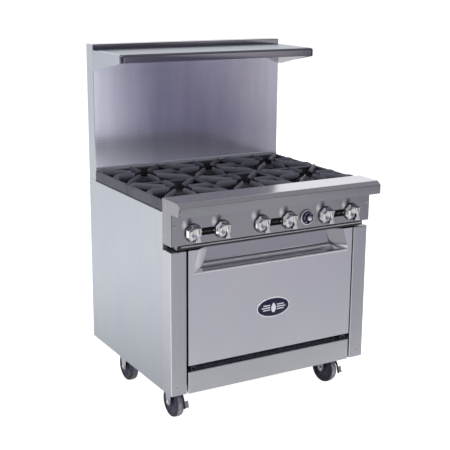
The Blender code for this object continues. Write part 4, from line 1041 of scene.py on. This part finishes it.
def oven():
    low, high = BOX["oven_liner"]
    floor, roof, half = 0.262, 0.656, 0.33
    back = high.y
    inner = ((-half - SHEET, floor - SHEET), (half + SHEET, roof + SHEET))
    cavity = open_box((inner[0][0], low.y + SHEET, inner[0][1]), (inner[1][0], back, inner[1][1]), "-Y", 0.008, 4)
    frame = bmesh.new()
    rows = [[frame.verts.new((x, low.y, z)) for x, z in ((left, base), (right, base), (right, top), (left, top))]
            for (left, base), (right, top) in (((low.x, low.z), (high.x, high.z)), inner)]
    bridge(frame, rows[0], rows[1])
    add("oven_cavity", cavity, "enamel", nodes=["oven_liner"], wall=SHEET)
    add("oven_mouth_frame", frame, "enamel", wall=SHEET)
    add("oven_flue_grille", [block((x - 0.026, back - SHEET - 0.0006, 0.612), (x + 0.026, back - SHEET + 0.0002, 0.64),
                                   0.0004, 1) for x in (-0.105, -0.035, 0.035, 0.105)], "dark")

    low, high = BOX["oven_deck"]
    add("oven_floor_plate", open_box(low, high, "-Z", 0.004, 3), "enamel", nodes=["oven_deck"],
        wall=SHEET)
    add("oven_floor_slots", [block((x - 0.011, y - 0.03, high.z - 0.0002), (x + 0.011, y + 0.03, high.z + 0.0006),
                                   0.0003, 1) for x in (-0.29, 0.29) for y in (-0.18, -0.08, 0.02, 0.12)], "dark")

    low, high = BOX["oven_burner"]
    x, radius, bend = 0.15, 0.0098, 0.04
    turn = high.y - bend - radius
    path = [(-x, low.y), (-x, turn), *arc(bend - x, turn, bend, range(165, 89, -15))]
    path = [(x, y, MIDDLE["oven_burner"].z) for x, y in path + [(-x, y) for x, y in reversed(path)]]
    add("oven_burner_tube", tube_along(path, radius, 20), "dark", nodes=["oven_burner"], smooth=50)

    for side, name in SIDES:
        node = f"rack_guide_{name}"
        low, high = BOX[node]
        wall, ahead = side * (half - 0.0003), side * (half - 0.011)
        wires = []
        for z in (0.38, 0.4455, 0.52, 0.59):
            shape = ((0.004, wall - side * 0.002, -0.01), (0.006, ahead, -0.004), (0.016, ahead, -0.003))
            wires.append(tube_along([(x, low.y + in_y, z + up) for in_y, x, up in shape]
                                    + [(x, high.y - in_y, z + up) for in_y, x, up in reversed(shape)], 0.0029, 14))
        for y in (low.y + 0.03, MIDDLE[node].y, high.y - 0.03):
            upright = [(wall - side * 0.0035, y, z) for z in (low.z + 0.002, high.z - 0.002)]
            wires.append(tube_along(upright, 0.003, 14))
        add(f"rack_guide_wires_{name}", wires, "wire", nodes=[node], smooth=50)

    low, high = BOX["oven_rack"]
    z = MIDDLE["oven_rack"].z
    rim, wire = 0.0039, 0.0024
    wires = [tube_along([(x, y, z) for x, y in rounded_loop(low, high, 0.018, rim)], rim, 14)]
    for x in (low.x + (high.x - low.x) * step / 24 for step in range(1, 24)):
        wires.append(tube_along([(x, y, z + 0.0018) for y in (low.y + rim, high.y - rim)], wire, 10))
    for y in (low.y + 0.16, high.y - 0.16):
        wires.append(tube_along([(x, y, z - 0.0008) for x in (low.x + rim, high.x - rim)], wire * 1.2, 12))
    add("oven_rack_wires", wires, "wire", "rack", ["oven_rack"], smooth=50)


def flue():
    low, high = BOX["flue_duct"]
    bend, riser = low.z + 0.064, high.y - 0.052
    bm = prism([(low.y, low.z), (low.y, bend), (riser, bend), (riser, high.z), (high.y, high.z), (high.y, low.z)], 0,
               low.x, high.x)
    bmesh.ops.recalc_face_normals(bm, faces=bm.faces)
    ends = [face for face in bm.faces if face.normal.z > 0.9 and face.calc_center_median().z > high.z - 0.01
            or face.normal.y < -0.9 and face.calc_center_median().z < low.z + 0.06]
    bmesh.ops.delete(bm, geom=ends, context="FACES_ONLY")
    add("flue_riser", round_edges(bm, 0.002, 2), "galvanised", nodes=["flue_duct"], wall=0.0012)


# ------------------------------------------------------------ door

def door_sheet(steps=9):
    """The door's folded outer sheet with the scoop pressed into its top: a cove from the lip in to a crease."""
    bm = bmesh.new()
    vert = bm.verts.new
    corner = {(side, z): vert((side * DOOR_HALF_W, FRONT, z)) for side in (-1, 1) for z in (DOOR_BOTTOM, DOOR_TOP)}
    back = {(side, z): vert((side * DOOR_HALF_W, DOOR_BACK, z)) for side, z in corner}
    low, high = {-1: [], 1: []}, {-1: [], 1: []}
    for angle in (math.pi / 2 * step / steps for step in range(steps + 1)):
        inward = math.sin(angle)
        z = LIP_Z + (CREASE_Z - LIP_Z) * (1 - math.cos(angle))
        y = FRONT + SCOOP_DEPTH * inward
        half = SCOOP_HALF_FRONT + (SCOOP_HALF_BACK - SCOOP_HALF_FRONT) * inward
        for side in (-1, 1):
            low[side].append(vert((side * half, y, z)))
            high[side].append(vert((side * (half - SCOOP_LEAN * (DOOR_TOP - z)), y, DOOR_TOP)))
    bm.faces.new([corner[-1, DOOR_BOTTOM], corner[1, DOOR_BOTTOM], corner[1, DOOR_TOP], high[1][0], low[1][0],
                  low[-1][0], high[-1][0], corner[-1, DOOR_TOP]])
    bm.faces.new([back[-1, DOOR_TOP], corner[-1, DOOR_TOP], *high[-1], *reversed(high[1]), corner[1, DOOR_TOP],
                  back[1, DOOR_TOP]])
    for side in (-1, 1):
        bm.faces.new((corner[side, DOOR_BOTTOM], corner[side, DOOR_TOP], back[side, DOOR_TOP], back[side, DOOR_BOTTOM]))
        for step in range(steps):
            end = bm.faces.new((low[side][step], low[side][step + 1], high[side][step + 1], high[side][step]))
            # The scoop's left end takes the bright look, a painted highlight; its right end takes the cove's look.
            end.material_index = 3 if side < 0 else 1
    bm.faces.new((corner[-1, DOOR_BOTTOM], corner[1, DOOR_BOTTOM], back[1, DOOR_BOTTOM], back[-1, DOOR_BOTTOM]))
    for step in range(steps):
        face = bm.faces.new((low[-1][step], low[1][step], low[1][step + 1], low[-1][step + 1]))
        face.material_index = 1
    # Painted shade: the scoop's back wall takes a darker copy of the door's steel.
    bm.faces.new((low[-1][-1], low[1][-1], high[1][-1], high[-1][-1])).material_index = 4
    return bm


def door():
    bm = round_edges(door_sheet(), 0.0022, 4, 24)
    # Painted highlight: a polished look along the door's left front fold.
    paint(bm, 2, lambda normal, middle: middle.x < -DOOR_HALF_W + 0.003 and normal.y < -0.25 and normal.x < -0.25)
    add("door_sheet", bm, ["door", "cove", "edge", "facet", "wall"], DOOR, ["door_skin"],
        wall=SHEET, smooth=30)
    bead = bar(0.0045, *[(x, FRONT + 0.0005, LIP_Z - 0.0035) for x in (-SCOOP_HALF_FRONT + 0.001,
                                                                       SCOOP_HALF_FRONT - 0.001)], 24, 0.0025)
    add("scoop_bead", bead, "edge", DOOR, smooth=60)
    outline = [(PIN_Y - 0.007, DOOR_BOTTOM + 0.001), (PIN_Y - 0.0065, PIN_Z),
               *arc(PIN_Y, PIN_Z, 0.0065, range(210, 331, 30)), (PIN_Y + 0.0065, PIN_Z),
               (PIN_Y + 0.007, DOOR_BOTTOM + 0.001)]
    add("door_hinge_tabs", [round_edges(prism(outline, 0, x - 0.0058, x + 0.0058), 0.0006, 2, 50)
                            for x in (-HINGE_X, HINGE_X)], "dark", DOOR)

    low, high = BOX["door_liner"]
    add("door_inner_plate", cube(low, high), "enamel", DOOR, ["door_liner"], edge=0.0015, steps=3)
    add("door_inner_panel", cube((low.x + 0.05, high.y - 0.001, low.z + 0.04),
                                 (high.x - 0.05, high.y + 0.0035, high.z - 0.1)), "enamel", DOOR, edge=0.0022, steps=4)
    places = [(x, high.y, z) for x in (low.x + 0.012, 0, high.x - 0.012) for z in (low.z + 0.006, high.z - 0.008)]
    screws("door_inner", places, "+Y", DOOR, 0.004)

    low, high = BOX["door_gasket"]
    middle, wide = MIDDLE["door_gasket"].y, 0.0068
    seal = tube_along([(x, middle, z) for x, z in rounded_loop(low.xz, high.xz, 0.016, wide)], wide, 14)
    for point in seal.verts:
        point.co.y = middle + (point.co.y - middle) * (high.y - low.y) / 2 / wide
    add("door_seal", seal, "gasket", DOOR, ["door_gasket"], smooth=60)


def badge():
    """A domed navy oval with a pale rim and a plain emblem: a small flame between two bars."""
    low, high = BOX["door_badge"]
    z = MIDDLE["door_badge"].z
    half_w, half_h = (high.x - low.x) / 2, (high.z - low.z) / 2
    back, face = high.y, high.y - 0.0036

    def oval(inset, drop, rise):
        return [((half_w - inset) * out, back - rise, z + (half_h - drop) * up)
                for out, up in arc(0, 0, 1, range(0, 360, 5))]

    rim = [oval(inset, inset, rise) for inset, rise in
           ((0, 0), (0, 0.0018), (0.0008, 0.0026), (0.004, 0.0028), (0.0046, 0.002))]
    add("badge_rim", loft(rim), "pale", DOOR, smooth=50)
    field = [oval(inset, inset * 0.92, rise) for inset, rise in
             ((0.0048, 0.0016), (0.0052, 0.0026), (0.01, 0.0033), (0.018, 0.0038), (0.028, 0.0041))]
    add("badge_field", loft(field), "navy", DOOR, ["door_badge"], smooth=60)
    flame = [(0.011 * out * (1 - 0.45 * max(0, up) ** 1.5), z - 0.002 + 0.02 * up)
             for out, up in arc(0, 0, 1, range(0, 360, 15))]
    parts = [round_edges(prism(flame, 1, face - 0.001, face), 0.0004, 2, 50)]
    for side in (-1, 1):
        for level, long in ((0.0095, 0.033), (0.0, 0.04), (-0.0095, 0.033)):
            start, end = pair(side, 0.0155, 0.0155 + long)
            parts.append(block((start, face - 0.0008, z + level - 0.0022), (end, face + 0.0012, z + level + 0.0022),
                               0.0004))
    add("badge_emblem", parts, "pale", DOOR)


def hinges():
    for side, name in SIDES:
        node = f"door_hinge_{name}"
        low, high = BOX[node]
        x = side * HINGE_X
        outline = [(low.y, low.z + 0.001), (low.y, PIN_Z), *arc(PIN_Y, PIN_Z, 0.0062, range(150, 29, -30)),
                   (PIN_Y + 0.0085, PIN_Z - 0.0005), (PIN_Y + 0.0085, low.z + 0.001)]
        parts = [block(low, (high.x, high.y, low.z + 0.0034), 0.0006)]
        parts += [round_edges(prism(outline, 0, x + start, x + end), 0.0005, 2, 50)
                  for start, end in ((-0.0119, -0.0064), (0.0064, 0.0119))]
        parts.append(bar(0.004, (x - 0.0135, PIN_Y, PIN_Z), (x + 0.0135, PIN_Y, PIN_Z), 20, 0.001))
        add(f"hinge_bracket_{name}", parts, "dark", nodes=[node])


# ------------------------------------------------------------ base and casters

def base_frame():
    low, high = BOX["base_frame"]
    rail = 0.03
    parts = [block((*start, low.z), (*end, high.z), 0.002, 3) for start, end in
             (((low.x, low.y), (high.x, low.y + rail)), ((low.x, high.y - rail), (high.x, high.y)),
              ((low.x, low.y), (low.x + rail, high.y)), ((high.x - rail, low.y), (high.x, high.y)))]
    for name in CASTERS:
        x, y, _ = JOINTS[f"{name}_swivel_turn"]["pos_m"]
        start, end = sorted((low.x if x < 0 else high.x, x - math.copysign(0.045, x)))
        parts.append(block((start, y - 0.05, low.z), (end, y + 0.05, low.z + 0.0058), 0.001))
    add("base_frame_rails", parts, "dark", nodes=["base_frame"])


def caster_leg(side, plate_low, axle, wheel_r):
    """One leg of the fork: a broad strap from the crown down to a round end at the axle."""
    outline = [(0.02, plate_low + 0.003), (axle - 0.026, plate_low + 0.003), (axle - 0.029, plate_low - 0.004),
               (axle - 0.02, 0.096), (axle - 0.0165, wheel_r + 0.004),
               *arc(axle, wheel_r, 0.0135, range(200, 341, 20)), (axle + 0.018, wheel_r + 0.004),
               (axle + 0.0225, 0.092), (0.01, 0.12), (0.024, plate_low - 0.006)]
    return round_edges(prism(outline, 0, *pair(side, 0.0255, 0.0225)), 0.0008, 2, 40)


def caster(name, braked):
    """One caster, made about its swivel axis with the wheel trailing to -Y, then turned into place."""
    pivot = Vector(JOINTS[f"{name}_swivel_turn"]["pos_m"])
    spin = JOINTS[f"{name}_wheel_spin"]
    axle_point = Vector(spin["pos_m"])
    wheel_r = axle_point.z
    axle = -(axle_point.xy - pivot.xy).length
    seat = (Matrix.Translation((pivot.x, pivot.y, 0))
            @ Matrix.Rotation(math.atan2(spin["axis"][1], spin["axis"][0]), 4, "Z"))
    top = BOX[f"caster_{name}_fork"][1].z
    plate = top - 0.0105
    fork, wheel = f"{name}_swivel", f"{name}_wheel"

    def put(piece, parts, look, body, nodes=(), slot=None, smooth=40):
        add(f"{name}_{piece}", moved(joined(*parts), seat), look, body, nodes, smooth=smooth)

    parts = [caster_leg(side, plate, axle, wheel_r) for side in (-1, 1)]
    parts.append(block((-0.0255, axle - 0.029, plate - 0.0005), (0.0255, 0.026, plate + 0.0035), 0.0016, 3))
    parts.append(lathe([(0, top - 0.0115), (0.0285, top - 0.0115), (0.03, top - 0.01), (0.03, top - 0.006),
                        (0.0285, top - 0.0045), (0.0225, top - 0.003), (0.022, top), (0, top)], 40))
    put("fork_sheet", parts, "zinc", fork, [f"caster_{name}_fork"], "zinc")
    parts = []
    for side, way in ((-1, "-X"), (1, "+X")):
        parts += [lathe([(0, 0), (0.0086, 0), (0.0092, 0.0008), (0.0092, 0.004), (0.008, 0.0052), (0, 0.0052)], 6,
                        way, (side * 0.0255, axle, wheel_r)),
                  lathe([(0, 0), (0.0112, 0), (0.0115, 0.0006), (0.0112, 0.0012), (0, 0.0012)], 28, way,
                        (side * 0.0252, axle, wheel_r))]
    parts.append(bar(0.0048, (-0.026, axle, wheel_r), (0.026, axle, wheel_r)))
    put("axle_bolt", parts, "screw", fork)

    half = 0.016
    at = (0, axle, wheel_r)
    shoulder = ((0.0045, 0), (0.002, 0.002), (0.0008, 0.006), (0, 0.0105))
    tread = lathe([(0.048, -half), *[(wheel_r - drop, inset - half) for drop, inset in shoulder],
                   *[(wheel_r - drop, half - inset) for drop, inset in reversed(shoulder)], (0.048, half),
                   (0.0465, half - 0.002), (0.0465, -half + 0.002)], 72)
    # The middle of the rolling face takes the grey tread rubber; the faces towards its edges take a darker look,
    # painted shade on the shoulders.
    for face in tread.faces:
        middle = face.calc_center_median()
        if math.hypot(middle.x, middle.y) > wheel_r - 0.003:
            face.material_index = 2 if abs(middle.z) < half - 0.007 else 1
    moved(tread, Matrix.Translation(at) @ Matrix.Rotation(math.pi / 2, 4, "Y"))
    put("tread", [tread], ["tyre", "shoulder", "tread"], wheel, [f"caster_{name}_wheel"], "tyre", 50)
    web = ((0.0055, 0.019), (0.014, 0.019), (0.0155, 0.0175), (0.0165, 0.0095), (0.04, 0.0085), (0.044, 0.0135),
           (0.0478, 0.014))
    parts = [lathe([(radius, -out) for radius, out in web] + list(reversed(web)), 64, "+X", at)]
    for step in range(6):
        for side in (-1, 1):
            start, end = pair(side, 0.0082, 0.0115)
            parts.append(moved(block((start, -0.0022, 0.015), (end, 0.0022, 0.0425), 0.0008),
                               Matrix.Translation(at) @ Matrix.Rotation(math.tau * step / 6, 4, "X")))
    put("wheel_core", parts, "hub", wheel, slot="tyre")
    race = lathe([(0.024, plate - 0.006), (0.0275, plate - 0.006), (0.0282, plate - 0.0045),
                  (0.0275, plate - 0.001), (0.024, plate - 0.001)], 40)
    nut = lathe([(0, plate - 0.0115), (0.01, plate - 0.0115), (0.0115, plate - 0.01), (0.0115, plate - 0.001),
                 (0, plate - 0.001)], 6)
    put("swivel_race", [race, nut], "screw", fork)
    if braked:
        caster_brake(put, name, axle, plate)


def caster_brake(put, name, axle, plate):
    """The ears under the crown, and the pedal: a bent arm in the dark look, painted shade, with a pale tab for the toe.
    """
    y, z, crown, pedal = axle - 0.048, 0.126, plate + 0.002, f"{name}_pedal"
    outline = [(y - 0.01, crown), (y + 0.02, crown), (y + 0.02, 0.14), (y + 0.008, 0.119), (y - 0.007, 0.118),
               (y - 0.01, 0.122)]
    ears = [round_edges(prism(outline, 0, *pair(side, 0.0195, 0.0165)), 0.001, 2) for side in (-1, 1)]
    ears.append(block((-0.0195, y - 0.01, crown - 0.0025), (0.0195, y + 0.02, crown + 0.0008), 0.001))
    put("brake_ears", ears, "zinc", f"{name}_swivel", smooth=32)
    # Painted shade: the pedal's arm takes the black look.
    arm = [(y + right, z + up) for right, up in
           ((0.006, 0.006), (0.008, 0), (0.006, -0.005), (-0.01, -0.019), (-0.021, -0.03), (-0.032, -0.067),
            (-0.0385, -0.066), (-0.0275, -0.028), (-0.016, -0.01), (-0.004, 0.006))]
    put("brake_arm", [round_edges(prism(arm, 0, 0.003, 0.0085), 0.0008, 2, 40),
                      bar(0.003, (-0.0195, y, z), (0.0195, y, z))], "dark", pedal, [f"caster_{name}_brake"], "zinc")
    tab = [(y - back, z - down) for back, down in
           ((0.0255, 0.0385), (0.0345, 0.0645), (0.0375, 0.0635), (0.0285, 0.0375))]
    parts = [round_edges(prism(tab, 0, 0.008, 0.025), 0.001, 3, 40)]
    for share in (0.2, 0.4, 0.6, 0.8):
        rib_y, rib_z = y - 0.0285 - 0.009 * share, z - 0.0375 - 0.026 * share
        parts.append(block((0.01, rib_y - 0.0006, rib_z - 0.001), (0.023, rib_y + 0.0006, rib_z + 0.001),
                           0.0004, 1))
    put("brake_tab", parts, "zinc", pedal)


# ------------------------------------------------------------ studio

def floor():
    """A pale sheet on the ground, wide at the sides and back and ending in front of the range.

    It is plain white to the camera; what the metal sees of it is a little dimmer close to the range, a painted shadow
    seen only in reflections.
    """
    bm = bmesh.new()
    bm.faces.new([bm.verts.new(corner) for corner in ((-9.0, -0.76, 0.0), (9.0, -0.76, 0.0), (9.0, 9.0, 0.0),
                                                      (-9.0, 9.0, 0.0))])
    mesh = bpy.data.meshes.new("floor")
    bm.to_mesh(mesh)
    bm.free()
    sheet = bpy.data.objects.new("floor", mesh)
    bpy.context.scene.collection.objects.link(sheet)
    look = base_look("pale_floor", (0.5, 0.5, 0.5), 0.8, 0.0, specular=0.1)
    set_colour(look, ramp(look, noise(look, 6.0, 4.0), (0.3, (0.5, 0.5, 0.505)), (0.7, (0.53, 0.53, 0.53))))
    reach = add_node(look, "ShaderNodeVectorMath", {0: place(look)}, operation="LENGTH").outputs["Value"]
    seen = add_node(look, "ShaderNodeLightPath").outputs["Is Camera Ray"]
    glow = add_node(look, "ShaderNodeMix", {0: seen, 2: spread(look, reach, 0.2, 0.72, 0.7, 2.2), 3: 1.0},
                    data_type="FLOAT").outputs[0]
    shader_of(look).inputs["Emission Color"].default_value = (1, 1, 1, 1)
    link(look, glow, shader_of(look).inputs["Emission Strength"])
    mesh.materials.append(look)


def world():
    """White behind; in front pale low down, dim violet at eye level, two pale cards, a grey ceiling."""
    studio = bpy.data.worlds.new("studio")
    bpy.context.scene.world = studio
    studio.use_nodes = True
    studio.node_tree.nodes.clear()

    def maths(operation, first, second):
        return add_node(studio, "ShaderNodeMath", {0: first, 1: second}, operation=operation).outputs["Value"]

    def product(first, *others):
        for other in others:
            first = maths("MULTIPLY", first, other)
        return first

    def above(value, low, high):
        return add_node(studio, "ShaderNodeMapRange", {"Value": value, "From Min": low, "From Max": high},
                        interpolation_type="SMOOTHSTEP").outputs["Result"]

    def below(value, low, high):
        return maths("SUBTRACT", 1.0, above(value, low, high))

    def mix(factor, first, second):
        return add_node(studio, "ShaderNodeMix", {0: factor, 6: first, 7: (*second, 1)}, data_type="RGBA").outputs[2]

    generated = add_node(studio, "ShaderNodeTexCoord").outputs["Generated"]
    split = add_node(studio, "ShaderNodeSeparateXYZ", {"Vector": generated})
    x, y, z = (split.outputs[axis] for axis in "XYZ")
    room = ramp(studio, maths("ADD", product(z, 0.5), 0.5), (0.0, (0.7, 0.7, 0.7)), (0.335, (0.66, 0.66, 0.68)),
                (0.385, (0.44, 0.44, 0.46)), (0.415, (0.27, 0.26, 0.39)), (0.45, (0.24, 0.23, 0.34)),
                (0.5, (0.1, 0.09, 0.12)), (0.58, (0.05, 0.05, 0.06)), (0.68, (0.3, 0.3, 0.33)),
                (0.8, (0.46, 0.46, 0.48)), (1.0, (0.5, 0.5, 0.52)))
    forward = product(y, -1.0)
    ahead = maths("MAXIMUM", forward, 0.05)
    across, up = maths("DIVIDE", x, ahead), maths("DIVIDE", z, ahead)
    facing = above(forward, 0.2, 0.4)
    lean = maths("ADD", across, product(up, 0.87))
    right_card = product(above(lean, 0.435, 0.487), above(up, -0.25, -0.215), below(up, 0.0, 0.06),
                         below(across, 0.655, 0.71), facing)
    room = mix(right_card, room, (1.3, 1.27, 1.28))
    middle_card = product(below(across, 0.395, 0.465), above(up, -0.32, -0.24), below(up, -0.04, 0.02),
                          above(across, -0.2, 0.1), facing)
    room = mix(middle_card, room, (1.1, 1.11, 1.16))
    room = mix(product(above(y, -0.1, 0.35), below(z, 0.35, 0.65)), room, (1.0, 1.0, 1.0))
    around = add_node(studio, "ShaderNodeBackground", {"Color": room})
    white = add_node(studio, "ShaderNodeBackground", {"Color": (1, 1, 1, 1), "Strength": 1.15})
    seen = add_node(studio, "ShaderNodeLightPath").outputs["Is Camera Ray"]
    pick = add_node(studio, "ShaderNodeMixShader", {0: seen, 1: around.outputs[0], 2: white.outputs[0]})
    add_node(studio, "ShaderNodeOutputWorld", {"Surface": pick.outputs[0]})
    bpy.context.scene.view_settings.view_transform = "Standard"


def softbox(name, at, target, size, power, colour=(1, 1, 1), mirrored=False):
    """An area light; unless mirrored it lights surfaces without showing in the metal."""
    lamp = bpy.data.lights.new(name, "AREA")
    lamp.shape = "RECTANGLE"
    lamp.size, lamp.size_y = size
    lamp.energy = power
    lamp.color = colour
    made = bpy.data.objects.new(name, lamp)
    made.location = at
    made.rotation_mode = "QUATERNION"
    made.rotation_quaternion = (Vector(target) - Vector(at)).to_track_quat("-Z", "Y")
    made.visible_glossy = mirrored
    bpy.context.scene.collection.objects.link(made)


def lights():
    softbox("key_left", (-3.4, -0.6, 2.8), (-0.4, 0.0, 0.5), (2.8, 2.6), 40, (0.97, 0.98, 1.0), mirrored=True)
    softbox("front_fill", (-0.4, -4.4, 3.2), (0.0, -0.3, 0.5), (3.0, 1.6), 120)
    softbox("overhead", (0.2, -0.2, 3.8), (0.0, 0.0, 0.9), (3.0, 2.4), 50)


def camera():
    lens = bpy.data.cameras.new("camera")
    lens.lens = 79.83
    eye = bpy.data.objects.new("camera", lens)
    eye.location = (-2.05888, -3.5558, 1.75325)
    yaw, pitch, roll = math.radians(29.8786), math.radians(14.2719), math.radians(0.436)
    eye.rotation_euler = (Matrix.Rotation(-yaw, 4, "Z") @ Matrix.Rotation(math.pi / 2 - pitch, 4, "X")
                          @ Matrix.Rotation(roll, 4, "Z")).to_euler()
    bpy.context.scene.collection.objects.link(eye)
    bpy.context.scene.camera = eye


# ------------------------------------------------------------ build

camera()
floor()
world()
lights()

casing_sides()
front_rail()
control_panel()
crumb_tray()
backguard()
high_shelf()
rear_side()

grates()
burners()
top_frame()

knobs()
thermostat()
label_plates()
manifold()

oven()
flue()

door()
badge()
hinges()

base_frame()
for caster_name in CASTERS:
    caster(caster_name, caster_name.startswith("front"))
